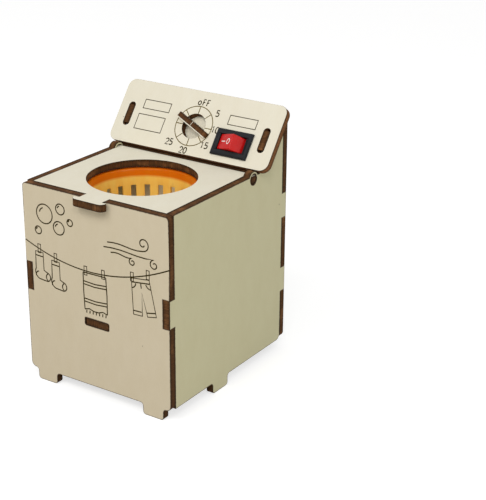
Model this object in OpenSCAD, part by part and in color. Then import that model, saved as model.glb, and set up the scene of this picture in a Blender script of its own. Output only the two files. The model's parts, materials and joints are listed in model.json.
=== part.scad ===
// Toy washing machine cut from thin plywood, with a spinning slotted tub.
// A small motor stands in a shelf and turns the tub. The rear bay holds two cells.
//
// Every sub-part is drawn in the case's own frame: x runs across, y runs back from
// the front face and z runs up from the panels' lower edge. stand() then sets the
// whole part on its feet, with the origin under the middle of its outline.

/* [Plywood] */
// Thickness of the plywood sheet
sheet_t = 2.7; // [2.5:0.1:3]
// Gap on each side of a glued tab
fit_gap = 0.05; // [0.02:0.01:0.1]
// Radius of the panels' lower corners
corner_r = 2; // [0.6:0.1:3]
// Radius of the front and back panels' upper corners
upper_corner_r = 1.4; // [0.6:0.1:3]

/* [Case] */
// Width over the side panels
case_w = 62; // [60:1:70]
// Room between the top of the cell holder and the panels' top edge
head_room = 5.6; // [5:0.1:12]
// Depth of the cells behind the back face
cell_recess = 0.34; // [0.1:0.02:4]
// Depth of the level shoulder behind the sloping edge
shoulder_d = 1.8; // [1:0.1:4]
// Height of the feet
foot_h = 4.2; // [3:0.1:6]
// Radius of the feet's lower corners
foot_r = 1.2; // [0.4:0.1:1.8]
// Width of a foot on the front and back panels
foot_w = 8.75; // [6:0.25:12]
// Distance from the case side to a front foot
front_foot_in = 3.1; // [2.5:0.1:6]
// Distance from the case side to a back foot
back_foot_in = 6.6; // [2.5:0.1:9]
// Distance from the front face to the side foot
side_foot_y = 24.9; // [15:0.1:40]
// Length of the side foot
side_foot_l = 9.3; // [6:0.1:14]

/* [Panel joints] */
// Height of the side panels' front tab above the lower edge
front_tab_z = 30.6; // [27:0.1:45]
// Height of that tab along the edge
front_tab_h = 10.3; // [6:0.1:14]
// Height of the lower back tab above the lower edge
back_tab_low_z = 19.4; // [8:0.1:30]
// Height of the upper back tab above the lower edge
back_tab_high_z = 48.5; // [42:0.1:56]
// Height of each back tab along the edge
back_tab_h = 9.7; // [6:0.1:12]

/* [Lid] */
// Gap between the lid and the panels round it
lid_gap = 0.12; // [0.08:0.02:0.4]
// Height of the lid's face above the panels' top edge
lid_proud = 0.1; // [0:0.05:1]
// Radius of the round opening beyond the tub's inner radius
lid_hole_over = 0.4; // [-3:0.1:1.5]
// Distance from the tub's rim to the hinge axis
hinge_room = 0.75; // [0.5:0.05:3]
// Width of the square hinge tab
hinge_tab = 2.7; // [2.2:0.1:3]
// Running gap round a hinge tab's corners
hinge_gap = 0.06; // [0.02:0.01:0.09]
// Wall left round the hinge hole
ear_wall = 0.95; // [0.6:0.05:1.1]
// Width of the front handle
handle_w = 13.4; // [12:0.1:20]
// Width of the neck between the handle and the lid
neck_w = 9.7; // [7:0.1:11]
// Reach of the handle in front of the case
handle_out = 3.4; // [3.3:0.1:8]
// Gap between the handle's ends and the front panel
handle_end_gap = 1.1; // [0.3:0.1:1.2]
// Radius of the handle's front corners
handle_r = 2; // [0.5:0.1:2.1]
// Gap under the neck in its notch
neck_rest_gap = 0.1; // [0.05:0.05:0.3]

/* [Control panel] */
// Reach of the sloping panel beyond each side of the case
panel_overhang = 3.75; // [2.5:0.05:8]
// Reach of the sloping panel past the top of the side panels' sloping edge
panel_top_over = 2.3; // [0.5:0.1:5]
// Slope of the panel from the level
panel_slope = 53; // [48:1:56]
// Radius of the panel's corners
panel_r = 3.2; // [1:0.1:5]
// Length of the slot for a side panel's tab
panel_slot_l = 9.4; // [6:0.1:12]
// Distance from the lower edge to the slot's middle
panel_slot_s = 11.1; // [9:0.1:14]

/* [Dial] */
// Offset of the dial from the middle of the panel
dial_x = -0.4; // [-4:0.1:2]
// Distance of the dial from the panel's lower edge
dial_s = 11.2; // [10:0.1:13]
// Radius of the round hole under the knob
dial_hole_r = 4.8; // [4:0.1:6]
// Radius of the disc behind the hole
dial_disc_r = 8; // [6.5:0.1:8.5]
// Length of the knob bar
knob_l = 15.3; // [12:0.1:18]
// Thickness of the knob bar
knob_t = 2.3; // [1.8:0.1:2.7]
// Height of the knob bar above the panel
knob_h = 1.9; // [1.5:0.1:5]
// Turn of the knob bar on its dial
knob_turn = -23.5; // [-180:0.5:180]
// Running gap of the knob in its hole and of the disc behind it
dial_gap = 0.08; // [0.03:0.01:0.09]

/* [Switch] */
// Distance from the case side to the middle of the switch
switch_in = 13; // [11:0.1:14.5]
// Distance of the switch from the panel's lower edge
switch_s = 7.35; // [6.5:0.05:12]
// Length of the switch bezel
bezel_l = 15; // [14:0.1:17]
// Width of the switch bezel
bezel_w = 10; // [9:0.1:11]
// Height of the bezel above the panel
bezel_h = 1.3; // [0.8:0.1:2]
// Width of the bevel round the bezel
bezel_bevel = 0.5; // [0.2:0.1:0.7]
// Reach of the bezel over the panel round its cut-out
bezel_lap = 0.7; // [0.5:0.1:0.8]
// Depth of the switch body behind the panel's face
switch_body_h = 10; // [9:0.1:10.5]
// Wall of the switch body
switch_wall = 0.5; // [0.4:0.05:0.6]
// Width of the bezel's rim past each end of the rocker
rim_past_rocker = 1.7; // [1.65:0.05:2.5]
// Width of the bezel's rim beside the rocker
rim_beside_rocker = 2.1; // [1.8:0.1:3]
// Height of the rocker's ridge over its pivot
rocker_ridge = 6.4; // [5:0.1:7]
// Height of the rocker's ends over its pivot
rocker_end = 1.9; // [1.5:0.1:2.1]
// Depth of the pivot behind the panel's face
pivot_depth = 2.4; // [2:0.1:3]
// Radius of the pivot pins
pivot_r = 1; // [0.7:0.05:1.2]
// Tilt of the rocker either side of level
rocker_tilt = 13; // [8:0.5:13]

/* [Shelf] */
// Height of the shelf's lower face
shelf_z = 23.2; // [20:0.1:26]
// Width of the slot for its tab in the front panel
shelf_tab_w = 10.4; // [8:0.1:16]
// Width of each tab in the partition
shelf_back_tab_w = 9; // [6:0.5:12]
// Distance of those tabs from the middle
shelf_back_tab_x = 15; // [10:0.5:20]
// Width of the wire notch under the partition
wire_notch_w = 9; // [8:0.5:20]
// Height of the wire notch
wire_notch_h = 6; // [5:0.1:8]

/* [Motor] */
// Radius of the motor's round sides
motor_r = 10; // [9:0.1:11]
// Thickness across the motor's flats
motor_flat = 15; // [13:0.1:17]
// Length of the motor without its bosses
motor_l = 25; // [22:0.1:27]
// Rise of the motor above the shelf
motor_rise = 1.7; // [1:0.1:3]
// Length of the plastic end cap
cap_l = 4.4; // [3.5:0.1:6]
// Wall of the steel can
can_wall = 0.8; // [0.5:0.1:1]
// Radius of the can's bearing boss
boss_r = 3; // [2.6:0.1:4]
// Height of the bosses
boss_h = 1.5; // [1:0.1:2]
// Radius of the shaft
shaft_r = 1; // [0.9:0.05:1.2]
// Running gap between the shaft and its bearings
shaft_gap = 0.05; // [0.02:0.01:0.09]

/* [Tub] */
// Inner radius of the tub at the rim
tub_r = 18.9; // [16:0.1:20]
// Draft of the tub wall over its height
tub_draft = 1.2; // [0.4:0.1:3]
// Wall of the tub
tub_wall = 1.2; // [0.8:0.1:1.6]
// Gap between the tub's rim and the lid
tub_lid_gap = 0.6; // [0.5:0.05:3]
// Reach of the rim's flange outside the wall
rim_out = 2; // [1:0.1:2.6]
// Thickness of the rim's flange
rim_h = 1.6; // [1:0.1:3]
// Room between the front panel and the rim
tub_front_room = 2.15; // [1:0.05:5]
// Radius where the wall meets the floor
tub_fillet = 4; // [2:0.5:8]
// Number of drain slots round the wall
slot_count = 24; // [12:1:28]
// Width of a drain slot
slot_w = 1.9; // [1:0.1:2.4]
// Turn of the ring of slots at rest
slot_turn = 2.5; // [0:0.5:15]
// Height of the drain slots
slot_h = 17; // [8:0.5:18]
// Distance from the rim to the top of the slots
slot_drop = 6; // [4:0.1:9]
// Gap between the motor's boss and the hub
hub_gap = 1.5; // [0.8:0.1:3]
// Radius of the hub's flange
hub_flange_r = 8; // [6:0.1:10]
// Radius of the hub's sleeve
hub_sleeve_r = 3; // [2:0.1:4]
// Height of the hub
hub_h = 3.3; // [3:0.1:8]
// Reach of the shaft through the tub's floor
shaft_tip = 1; // [0.4:0.1:2]

/* [Battery bay] */
// Radius of a cell
cell_r = 7.1; // [6.9:0.05:7.2]
// Length of a cell without its nub
cell_l = 49.4; // [49:0.1:50]
// Length of the compressed contact spring
spring_l = 3.4; // [2.5:0.1:5]
// Wall of the cell holder
holder_wall = 1.5; // [1.2:0.1:2]
// Reach of the holder's side walls into the back panel's window
holder_in_window = 0.7; // [-5:0.1:1]
// Height of the holder's lower end
holder_z = 7; // [6.5:0.1:9]
// Thickness of the foam pad behind the holder
pad_t = 1; // [0.6:0.1:1.5]
// Gap between the holder and the window in the back panel
window_gap = 0.75; // [0.3:0.05:2]

/* [Wires] */
// Radius of a wire over its insulation
wire_r = 0.7; // [0.4:0.05:0.8]
// Radius of the spring's wire
spring_wire_r = 0.3; // [0.2:0.05:0.4]

/* [Hidden] */
$fn = 64;

// Cuts run this far past a face
over = 1;
// Flat faces that only rest on each other keep this gap
face_gap = 0.02;

// Case, across
half_w = case_w / 2;
inner_half = half_w - sheet_t;
room_half = inner_half - fit_gap;
panel_w = case_w + 2 * panel_overhang;
tab_r = 0.6;
window_r = 1;
// A square-cornered tab is this much narrower at each end than its round-cornered slot
round_corner_loss = tab_r - sqrt(pow(tab_r, 2) - pow(tab_r - fit_gap, 2)) + face_gap;

// From the front panel back to the partition
tub_outer_r = tub_r + tub_wall + rim_out;
tub_y = sheet_t + tub_front_room + tub_outer_r;
lid_hole_r = tub_r + lid_hole_over;
hinge_y = tub_y + tub_outer_r + hinge_room;
hinge_swing_r = norm([sheet_t, hinge_tab]) / 2;
hinge_hole_r = hinge_swing_r + hinge_gap;
swing_gap = 0.2;
partition_y = hinge_y + hinge_swing_r + swing_gap;
seat_y = partition_y + 2 * sheet_t / 3;
panel_y = seat_y - (sheet_t + fit_gap) * sin(panel_slope);

// Cells and their holder, which set the height of the case
nub_l = 1.1;
nub_r = 2.75;
plate_t = 0.3;
plate_w = 8;
strip_w = 4;
cell_lug_w = 2;
cell_lug_out = 1.2;
cell_gap = 0.15;
cell_x = cell_r + cell_gap;
holder_y = partition_y + sheet_t + pad_t;
holder_w = 4 * cell_x + 2 * holder_wall;
holder_l = cell_l + nub_l + spring_l + 2 * (plate_t + holder_wall);
holder_top = holder_z + holder_l;
cell_y = holder_y + holder_wall + cell_gap + cell_r;
lead_y = cell_y - 3;
spring_low_r = 4;
spring_high_r = 2.2;
case_h = holder_top + head_room;
panel_z = case_h + (sheet_t + fit_gap) * cos(panel_slope);

// Switch
switch_x = half_w - switch_in;
cutout_l = bezel_l - 2 * bezel_lap;
cutout_w = bezel_w - 2 * bezel_lap;
body_l = cutout_l - 2 * fit_gap;
body_w = cutout_w - 2 * fit_gap;
rocker_half = bezel_l / 2 - rim_past_rocker;
rocker_w = bezel_w - 2 * rim_beside_rocker;
rocker_room = 0.2;
side_gap = 0.15;
pivot_gap = 0.05;
pin_l = body_w - 0.8;
// The rocker swings inside this half length
rocker_reach = rocker_half * cos(rocker_tilt) + rocker_end * sin(rocker_tilt) + rocker_room;
terminal_l = 4.4;
terminal_x = 3.2;
blade_t = 0.8;
blade_w = 2.8;

// The back panel clears the cells or the switch's terminals, whichever reach further back
terminal_room = 0.3;
terminal_back_y = slope_point(0, switch_s + blade_w / 2, -switch_body_h - terminal_l)[1];
back_y = max(cell_y + cell_r + cell_recess - sheet_t, terminal_back_y + terminal_room);
case_d = back_y + sheet_t;
middle_y = (case_d - handle_out) / 2;
holder_d = back_y + holder_in_window - holder_y;

// Slope of the side panels, and the panel that lies on it
slope_end_y = back_y - shoulder_d;
case_top = case_h + (slope_end_y - seat_y) * tan(panel_slope);
panel_l = (slope_end_y - seat_y) / cos(panel_slope) + panel_top_over;
panel_slot_w = sheet_t + 2 * fit_gap;
// A square-ended tab is this much shorter than its round-ended slot, both ends together
round_end_loss = panel_slot_w - sqrt(pow(panel_slot_w, 2) - pow(sheet_t, 2));

// Lid
lid_bottom = case_h + lid_proud - sheet_t;
hinge_z = lid_bottom + sheet_t / 2;
lid_back_y = hinge_y + hinge_tab / 2;
lid_front_y = sheet_t + lid_gap;

// Dial
stem_half = sqrt(pow(dial_hole_r - dial_gap, 2) - pow(knob_t / 2, 2));

// Drive line, from the shelf up
shelf_top = shelf_z + sheet_t;
motor_top = shelf_top + motor_rise;
motor_bottom = motor_top - motor_l;
cap_top = motor_bottom + cap_l;
hub_bottom = motor_top + boss_h + hub_gap;
hub_top = hub_bottom + hub_h;
tub_bottom = hub_top + face_gap;
tub_top = lid_bottom - tub_lid_gap;
tub_height = tub_top - tub_bottom;
tub_floor_r = tub_r - tub_draft;
slot_top = tub_top - slot_drop;
floor_gap = 0.3;
shaft_bottom = motor_bottom - boss_h / 2;
shaft_top = tub_bottom + tub_wall + shaft_tip;

// Inside the motor
rotor_gap = 0.3;
rotor_r = motor_flat / 2 - can_wall - rotor_gap;
rotor_bottom = cap_top + 4.2;
rotor_l = 10;
shoe_t = 1.1;
core_r = 2.6;
arm_w = 2.4;
coil_w = 4.4;
coil_head = 1.2;
coil_in = core_r + 0.2;
coil_out = sqrt(pow(rotor_r - shoe_t - face_gap, 2) - pow(coil_w / 2, 2));
magnet_in = rotor_r + 0.5;
magnet_out = motor_r - can_wall - face_gap;
commutator_r = 2.3;
commutator_l = 2.6;
bush_r = 2.1;
motor_lug_x = 6;
motor_lug_w = 1.8;
motor_lug_t = 0.5;
motor_lug_l = 3.2;

// Wires: the bend points that each route passes through, in the case's frame
wire_steps = 4;
wire_sides = 8;
spring_sides = 6;
terminal_side = [for (side = [-1, 1]) slope_point(
    switch_x + side * (terminal_x + blade_t / 2 + wire_r + fit_gap),
    switch_s, -switch_body_h - terminal_l / 2)];
lead_z = holder_top + wire_r;
floor_z = 3;
wall_room = 8;
wall_x = half_w - wall_room;
motor_lug_z = motor_bottom - motor_lug_l + wire_r;
motor_lead_y = tub_y + motor_lug_t / 2 + wire_r + fit_gap;
route_cell_to_switch = [
    [cell_x, lead_y, lead_z], [cell_x, cell_y - 2.5, lead_z + 1.5], [cell_x + 3, cell_y - 1, lead_z + 2.2],
    terminal_side[0] + [-0.4, -0.8, -2.4], terminal_side[0]
];
route_switch_to_motor = [
    terminal_side[1], terminal_side[1] + [0, -0.5, -3],
    [wall_x - 1, cell_y - 3, 60], [wall_x, cell_y - 3, 50], [wall_x, cell_y - 3, 35],
    [wall_x, cell_y - 3, 20], [wall_x - 2, cell_y - 4, 9], [wall_x - 8, cell_y - 6, floor_z],
    [3, partition_y + 5, floor_z], [2.5, partition_y - 4, floor_z - 1], [3, tub_y + 14, 0.5],
    [motor_lug_x, tub_y + 6, motor_lug_z], [motor_lug_x, motor_lead_y, motor_lug_z]
];
route_motor_to_cell = [
    [-motor_lug_x, motor_lead_y, motor_lug_z], [-motor_lug_x, tub_y + 6, motor_lug_z],
    [-3, tub_y + 14, 0.5], [-2.5, partition_y - 4, floor_z - 1], [-3, partition_y + 5, floor_z],
    [8 - wall_x, cell_y - 6, floor_z], [2 - wall_x, cell_y - 4, 9], [-wall_x, cell_y - 3, 20],
    [-wall_x, cell_y - 3, 35], [-wall_x, cell_y - 3, 50], [-wall_x, cell_y - 3, 60],
    [-14, cell_y - 2, lead_z + 2.5], [-cell_x - 2, cell_y - 2, lead_z + 2], [-cell_x, lead_y, lead_z]
];

// ---- Placing ----

// Sets a piece drawn in the case's frame on the ground
module stand() {
    translate([0, -middle_y, foot_h]) children();
}

// A sheet that faces front and back, its outline drawn in x and z
module upright_sheet(y) {
    translate([0, y + sheet_t, 0]) rotate([90, 0, 0]) linear_extrude(sheet_t) children();
}

// A sheet that faces left and right, its outline drawn in y and z
module side_sheet(x) {
    translate([x, 0, 0]) rotate([90, 0, 90]) linear_extrude(sheet_t) children();
}

// A level sheet, its outline drawn in x and y
module level_sheet(z) {
    translate([0, 0, z]) linear_extrude(sheet_t) children();
}

// The control panel's frame: x across, y up the slope, z out of its face
module on_slope() {
    translate([0, panel_y, panel_z]) rotate([panel_slope, 0, 0]) children();
}

function slope_point(x, s, n) = [
    x,
    panel_y + s * cos(panel_slope) - n * sin(panel_slope),
    panel_z + s * sin(panel_slope) + n * cos(panel_slope)
];

// ---- Outlines ----

// Rectangle with round corners, its lower left corner at the origin
module round_rect(w, h, r) {
    union() {
        translate([r, 0]) square([w - 2 * r, h]);
        translate([0, r]) square([w, h - 2 * r]);
        for (x = [r, w - r], y = [r, h - r]) translate([x, y]) circle(r);
    }
}

// What is cut off a square corner at the origin to leave it round
module corner_cut(r) {
    difference() {
        translate([-over, -over]) square(r + over);
        translate([r, r]) circle(r);
    }
}

// Slot with round ends, centred, its length along y
module round_slot(w, l) {
    union() {
        square([w, l - w], center = true);
        for (end = [-1, 1]) translate([0, end * (l - w) / 2]) circle(w / 2);
    }
}

// Foot that hangs below the x axis, with a small fillet where it leaves the edge
module foot(w) {
    translate([0, -foot_h]) difference() {
        square([w, foot_h + over]);
        corner_cut(foot_r);
        translate([w, 0]) mirror([1, 0]) corner_cut(foot_r);
    }
    for (side = [0, 1]) translate([side * w, 0]) mirror([1 - side, 0]) difference() {
        translate([0, -foot_r]) square([foot_r, foot_r + over]);
        translate([foot_r, -foot_r]) circle(foot_r);
    }
}

// Front or back panel: a board with two feet and an edge notch for each side tab
module end_outline(top, foot_in, tab_starts, tab_h) {
    difference() {
        union() {
            translate([-half_w, 0]) square([case_w, top]);
            for (side = [0, 1]) mirror([side, 0]) translate([half_w - foot_in - foot_w, 0]) foot(foot_w);
        }
        for (side = [0, 1]) mirror([side, 0]) {
            for (z = tab_starts) {
                translate([inner_half - fit_gap, z - fit_gap]) square([sheet_t + over, tab_h + 2 * fit_gap]);
            }
            translate([-half_w, 0]) corner_cut(corner_r);
            translate([-half_w, top]) mirror([0, 1]) corner_cut(upper_corner_r);
        }
    }
}

// ---- Plywood case ----

module front_panel() {
    notch_w = neck_w + 2 * lid_gap;
    color("tan") stand() upright_sheet(0) difference() {
        end_outline(case_h, front_foot_in, [front_tab_z], front_tab_h);
        translate([-notch_w / 2, lid_bottom - neck_rest_gap]) square([notch_w, sheet_t + over]);
        translate([-shelf_tab_w / 2, shelf_z - fit_gap])
            round_rect(shelf_tab_w, sheet_t + 2 * fit_gap, tab_r);
    }
}

module back_panel() {
    window_w = holder_w + 2 * window_gap;
    window_h = holder_l + 2 * window_gap;
    color("tan") stand() upright_sheet(back_y) difference() {
        end_outline(case_top, back_foot_in, [back_tab_low_z, back_tab_high_z], back_tab_h);
        translate([-window_w / 2, holder_z - window_gap]) round_rect(window_w, window_h, window_r);
    }
}

// Side panel: level below the lid, then up the slope to a level shoulder
module side_outline() {
    front = sheet_t + fit_gap;
    back = back_y - fit_gap;
    difference() {
        union() {
            polygon([[front, 0], [back, 0], [back, case_top], [slope_end_y, case_top],
                     [seat_y, case_h], [front, case_h]]);
            translate([side_foot_y, 0]) foot(side_foot_l);
            translate([hinge_y, hinge_z]) circle(hinge_hole_r + ear_wall);
            translate([0, front_tab_z]) square([front + over, front_tab_h]);
            for (z = [back_tab_low_z, back_tab_high_z]) {
                translate([back - over, z]) square([sheet_t + fit_gap + over, back_tab_h]);
            }
            translate([seat_y, case_h]) rotate(panel_slope) {
                tab_l = panel_slot_l - 2 * fit_gap - round_end_loss;
                translate([panel_slot_s - tab_l / 2, -over]) square([tab_l, sheet_t + fit_gap + over]);
            }
        }
        translate([hinge_y, hinge_z]) circle(hinge_hole_r);
        translate([back, 0]) mirror([1, 0]) corner_cut(corner_r);
    }
}

module left_side_panel() {
    color("burlywood") stand() side_sheet(-half_w) side_outline();
}

module right_side_panel() {
    color("burlywood") stand() side_sheet(inner_half) side_outline();
}

module partition_panel() {
    color("burlywood") stand() upright_sheet(partition_y) difference() {
        translate([-room_half, 0]) square([2 * room_half, case_h - fit_gap]);
        translate([-wire_notch_w / 2, -over]) square([wire_notch_w, wire_notch_h + over]);
        for (side = [-1, 1]) {
            translate([side * shelf_back_tab_x - shelf_back_tab_w / 2 - fit_gap, shelf_z - fit_gap])
                square([shelf_back_tab_w + 2 * fit_gap, sheet_t + 2 * fit_gap]);
        }
    }
}

module motor_shelf() {
    front = sheet_t + fit_gap;
    back = partition_y - fit_gap;
    tab_w = shelf_tab_w - 2 * round_corner_loss;
    color("burlywood") stand() level_sheet(shelf_z) difference() {
        union() {
            translate([-room_half, front]) square([2 * room_half, back - front]);
            translate([-tab_w / 2, 0]) difference() {
                square([tab_w, front + over]);
                corner_cut(tab_r);
                translate([tab_w, 0]) mirror([1, 0]) corner_cut(tab_r);
            }
            for (side = [-1, 1]) {
                translate([side * shelf_back_tab_x - shelf_back_tab_w / 2, back - over])
                    square([shelf_back_tab_w, sheet_t + fit_gap + over]);
            }
        }
        translate([0, tub_y]) motor_section(fit_gap);
    }
}

module control_panel() {
    color("wheat") stand() on_slope() translate([0, 0, -sheet_t]) linear_extrude(sheet_t) difference() {
        translate([-panel_w / 2, 0]) round_rect(panel_w, panel_l, panel_r);
        for (side = [-1, 1]) {
            translate([side * (half_w - sheet_t / 2), panel_slot_s]) round_slot(panel_slot_w, panel_slot_l);
        }
        translate([dial_x, dial_s]) circle(dial_hole_r);
        translate([switch_x, switch_s]) square([cutout_l, cutout_w], center = true);
    }
}

// ---- Lid ----

module lid() {
    w = 2 * (inner_half - lid_gap);
    color("wheat") stand() level_sheet(lid_bottom) difference() {
        union() {
            translate([-w / 2, lid_front_y]) square([w, lid_back_y - lid_front_y]);
            translate([-half_w, hinge_y - hinge_tab / 2]) square([case_w, hinge_tab]);
            translate([-neck_w / 2, -handle_end_gap - over])
                square([neck_w, handle_end_gap + lid_front_y + 2 * over]);
            translate([-handle_w / 2, -handle_out]) difference() {
                square([handle_w, handle_out - handle_end_gap]);
                corner_cut(handle_r);
                translate([handle_w, 0]) mirror([1, 0]) corner_cut(handle_r);
            }
        }
        translate([0, tub_y]) circle(lid_hole_r, $fn = 96);
    }
}

// ---- Dial ----

// The dial's own frame: its centre on the panel's face, x along the knob bar
module on_dial() {
    on_slope() translate([dial_x, dial_s, 0]) rotate(knob_turn) children();
}

module dial_disc() {
    color("wheat") stand() on_dial() translate([0, 0, -2 * sheet_t - dial_gap])
        linear_extrude(sheet_t) difference() {
            circle(dial_disc_r);
            square([2 * (stem_half + fit_gap), knob_t + 2 * fit_gap], center = true);
        }
}

// Bar on edge, with a stem that turns in the round hole and is glued in the disc
module knob_bar() {
    bar_r = 0.6;
    bar_h = knob_h - dial_gap;
    color("saddlebrown") stand() on_dial() translate([0, knob_t / 2, 0]) rotate([90, 0, 0])
        linear_extrude(knob_t) {
            translate([-knob_l / 2, dial_gap]) difference() {
                square([knob_l, bar_h]);
                translate([0, bar_h]) mirror([0, 1]) corner_cut(bar_r);
                translate([knob_l, bar_h]) rotate(180) corner_cut(bar_r);
            }
            translate([-stem_half, -2 * sheet_t - dial_gap])
                square([2 * stem_half, 2 * sheet_t + 2 * dial_gap + bar_h / 2]);
        }
}

// ---- Rocker switch ----

// The switch's own frame: its centre on the panel's face, x along the rocker
module on_switch() {
    on_slope() translate([switch_x, switch_s, 0]) children();
}

// Block with bevelled upper edges, centred, standing on the panel's face
module bevelled_bezel() {
    intersection() {
        rotate([90, 0, 0]) linear_extrude(bezel_w, center = true) bezel_profile(bezel_l);
        rotate([90, 0, 90]) linear_extrude(bezel_l, center = true) bezel_profile(bezel_w);
    }
}

module bezel_profile(l) {
    half = l / 2;
    polygon([[-half, face_gap], [half, face_gap], [half, bezel_h - bezel_bevel],
             [half - bezel_bevel, bezel_h], [bezel_bevel - half, bezel_h], [-half, bezel_h - bezel_bevel]]);
}

module switch_housing() {
    room_l = 2 * rocker_reach;
    room_w = rocker_w + 2 * side_gap;
    floor_h = 2.2;
    catch_w = 4;
    catch_h = 3;
    catch_out = 0.5;
    color("dimgray") stand() on_switch() difference() {
        union() {
            bevelled_bezel();
            translate([-body_l / 2, -body_w / 2, -switch_body_h])
                cube([body_l, body_w, switch_body_h + bezel_h / 2]);
            // Spring catches that hold the body behind the panel
            for (side = [0, 1]) mirror([0, side, 0]) {
                translate([-catch_w / 2, body_w / 2 - switch_wall, -sheet_t - fit_gap]) rotate([0, 90, 0])
                    linear_extrude(catch_w)
                        polygon([[0, 0], [0, switch_wall + catch_out], [catch_h, switch_wall], [catch_h, 0]]);
            }
        }
        translate([-room_l / 2, -room_w / 2, floor_h - switch_body_h])
            cube([room_l, room_w, switch_body_h + bezel_h]);
        translate([0, 0, -pivot_depth]) rotate([90, 0, 0])
            cylinder(r = pivot_r + pivot_gap, h = pin_l + 2 * side_gap, center = true);
    }
}

// Rocker outline in x and height over the pivot: two facets that meet in a ridge
module rocker_outline() {
    skirt = 1.4;
    taper = 0.3;
    keel_half = 2;
    keel_h = 1.6;
    polygon([[-rocker_half, rocker_end], [0, rocker_ridge], [rocker_half, rocker_end],
             [rocker_half - taper, rocker_end - skirt], [keel_half, -keel_h], [-keel_half, -keel_h],
             [taper - rocker_half, rocker_end - skirt]]);
}

module switch_rocker() {
    color("red") stand() on_switch() translate([0, 0, -pivot_depth]) rotate([0, rocker_tilt, 0])
        rotate([90, 0, 0]) {
            linear_extrude(rocker_w, center = true) rocker_outline();
            cylinder(r = pivot_r, h = pin_l, center = true);
        }
}

module switch_terminals() {
    color("goldenrod") stand() on_switch() for (side = [-1, 1]) {
        translate([side * terminal_x - blade_t / 2, -blade_w / 2, -switch_body_h - terminal_l])
            cube([blade_t, blade_w, terminal_l - face_gap]);
    }
}

// ---- Motor ----

// The motor's cross-section: a circle with two flats
module motor_section(grow = 0) {
    intersection() {
        circle(motor_r + grow);
        square([2 * motor_r + 2, motor_flat + 2 * grow], center = true);
    }
}

module at_motor(z) {
    stand() translate([0, tub_y, z]) children();
}

// Drawn steel can with a bearing boss
module motor_can() {
    can_l = motor_l - cap_l - face_gap;
    color("silver") at_motor(cap_top + face_gap) difference() {
        union() {
            linear_extrude(can_l) motor_section();
            cylinder(r = boss_r, h = can_l + boss_h);
        }
        translate([0, 0, -over]) linear_extrude(can_l - can_wall + over) motor_section(-can_wall);
        cylinder(r = bush_r + face_gap, h = can_l + boss_h + over);
    }
}

module motor_bush() {
    bush_bottom = motor_top - can_wall;
    bush_proud = 0.1;
    color("peru") at_motor(bush_bottom) difference() {
        cylinder(r = bush_r, h = can_wall + boss_h + bush_proud);
        translate([0, 0, -over]) cylinder(r = shaft_r + shaft_gap, h = can_wall + boss_h + 2 * over);
    }
}

// Plastic cap with a blind bearing for the shaft's lower end
module motor_end_cap() {
    inside = can_wall + fit_gap;
    plug_h = 1.6;
    brush_room = 3.4;
    color("ivory") at_motor(motor_bottom) difference() {
        union() {
            linear_extrude(cap_l) motor_section();
            linear_extrude(cap_l + plug_h) motor_section(-inside);
            translate([0, 0, -boss_h]) cylinder(r = boss_r, h = boss_h + over);
        }
        translate([0, 0, cap_l - plug_h]) cylinder(r = commutator_r + brush_room, h = 2 * plug_h + over);
        translate([0, 0, -boss_h / 2 - shaft_gap]) cylinder(r = shaft_r + shaft_gap, h = motor_l);
    }
}

module motor_magnets() {
    past_rotor = 1.5;
    magnet_l = rotor_l + 2 * past_rotor;
    color("dimgray") at_motor(rotor_bottom - past_rotor) linear_extrude(magnet_l) intersection() {
        difference() {
            circle(magnet_out);
            circle(magnet_in);
        }
        square([2 * motor_r, motor_flat - 2 * (can_wall + fit_gap)], center = true);
    }
}

// Two leaf brushes that bear on the commutator
module motor_brushes() {
    leaf_t = 0.3;
    leaf_w = 1.8;
    leaf_h = 1.5;
    arm_l = 2.9;
    color("goldenrod") at_motor(cap_top + 0.1) for (turn = [0, 180]) rotate(turn) {
        translate([commutator_r + face_gap, -leaf_w / 2, 0]) {
            cube([leaf_t, leaf_w, leaf_h]);
            cube([arm_l, leaf_w, leaf_t]);
        }
    }
}

module motor_terminals() {
    color("goldenrod") at_motor(motor_bottom - motor_lug_l) for (side = [-1, 1]) {
        translate([side * motor_lug_x - motor_lug_w / 2, -motor_lug_t / 2, 0])
            cube([motor_lug_w, motor_lug_t, motor_lug_l - face_gap]);
    }
}

module motor_shaft() {
    color("lightgray") at_motor(shaft_bottom) cylinder(r = shaft_r, h = shaft_top - shaft_bottom);
}

module on_shaft_bore(l) {
    translate([0, 0, -over]) cylinder(r = shaft_r + face_gap, h = l + 2 * over);
}

// Three poles, each an arm with a curved shoe
module rotor_core() {
    shoe_angle = 47;
    shoe_ray = 2 * rotor_r * [cos(shoe_angle), sin(shoe_angle)];
    color("slategray") at_motor(rotor_bottom) difference() {
        linear_extrude(rotor_l) union() {
            circle(core_r);
            for (pole = [0:2]) rotate(120 * pole) {
                translate([0, -arm_w / 2]) square([rotor_r - shoe_t / 2, arm_w]);
                intersection() {
                    difference() {
                        circle(rotor_r);
                        circle(rotor_r - shoe_t);
                    }
                    polygon([[0, 0], [shoe_ray[0], -shoe_ray[1]], shoe_ray]);
                }
            }
        }
        on_shaft_bore(rotor_l);
    }
}

module rotor_windings() {
    arm_room = arm_w + 2 * fit_gap;
    color("chocolate") at_motor(rotor_bottom - coil_head) for (pole = [0:2]) rotate(120 * pole) difference() {
        translate([coil_in, -coil_w / 2, 0]) cube([coil_out - coil_in, coil_w, rotor_l + 2 * coil_head]);
        translate([coil_in - over, -arm_room / 2, coil_head - face_gap])
            cube([coil_out + over, arm_room, rotor_l + 2 * face_gap]);
    }
}

// Copper ring with three shallow grooves between its segments
module commutator() {
    groove_w = 0.3;
    groove_d = 0.5;
    color("goldenrod") at_motor(cap_top - 0.2) difference() {
        cylinder(r = commutator_r, h = commutator_l);
        on_shaft_bore(commutator_l);
        for (turn = [30:120:270]) rotate(turn) {
            translate([commutator_r - groove_d, -groove_w / 2, -over])
                cube([groove_d + over, groove_w, commutator_l + 2 * over]);
        }
    }
}

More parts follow.
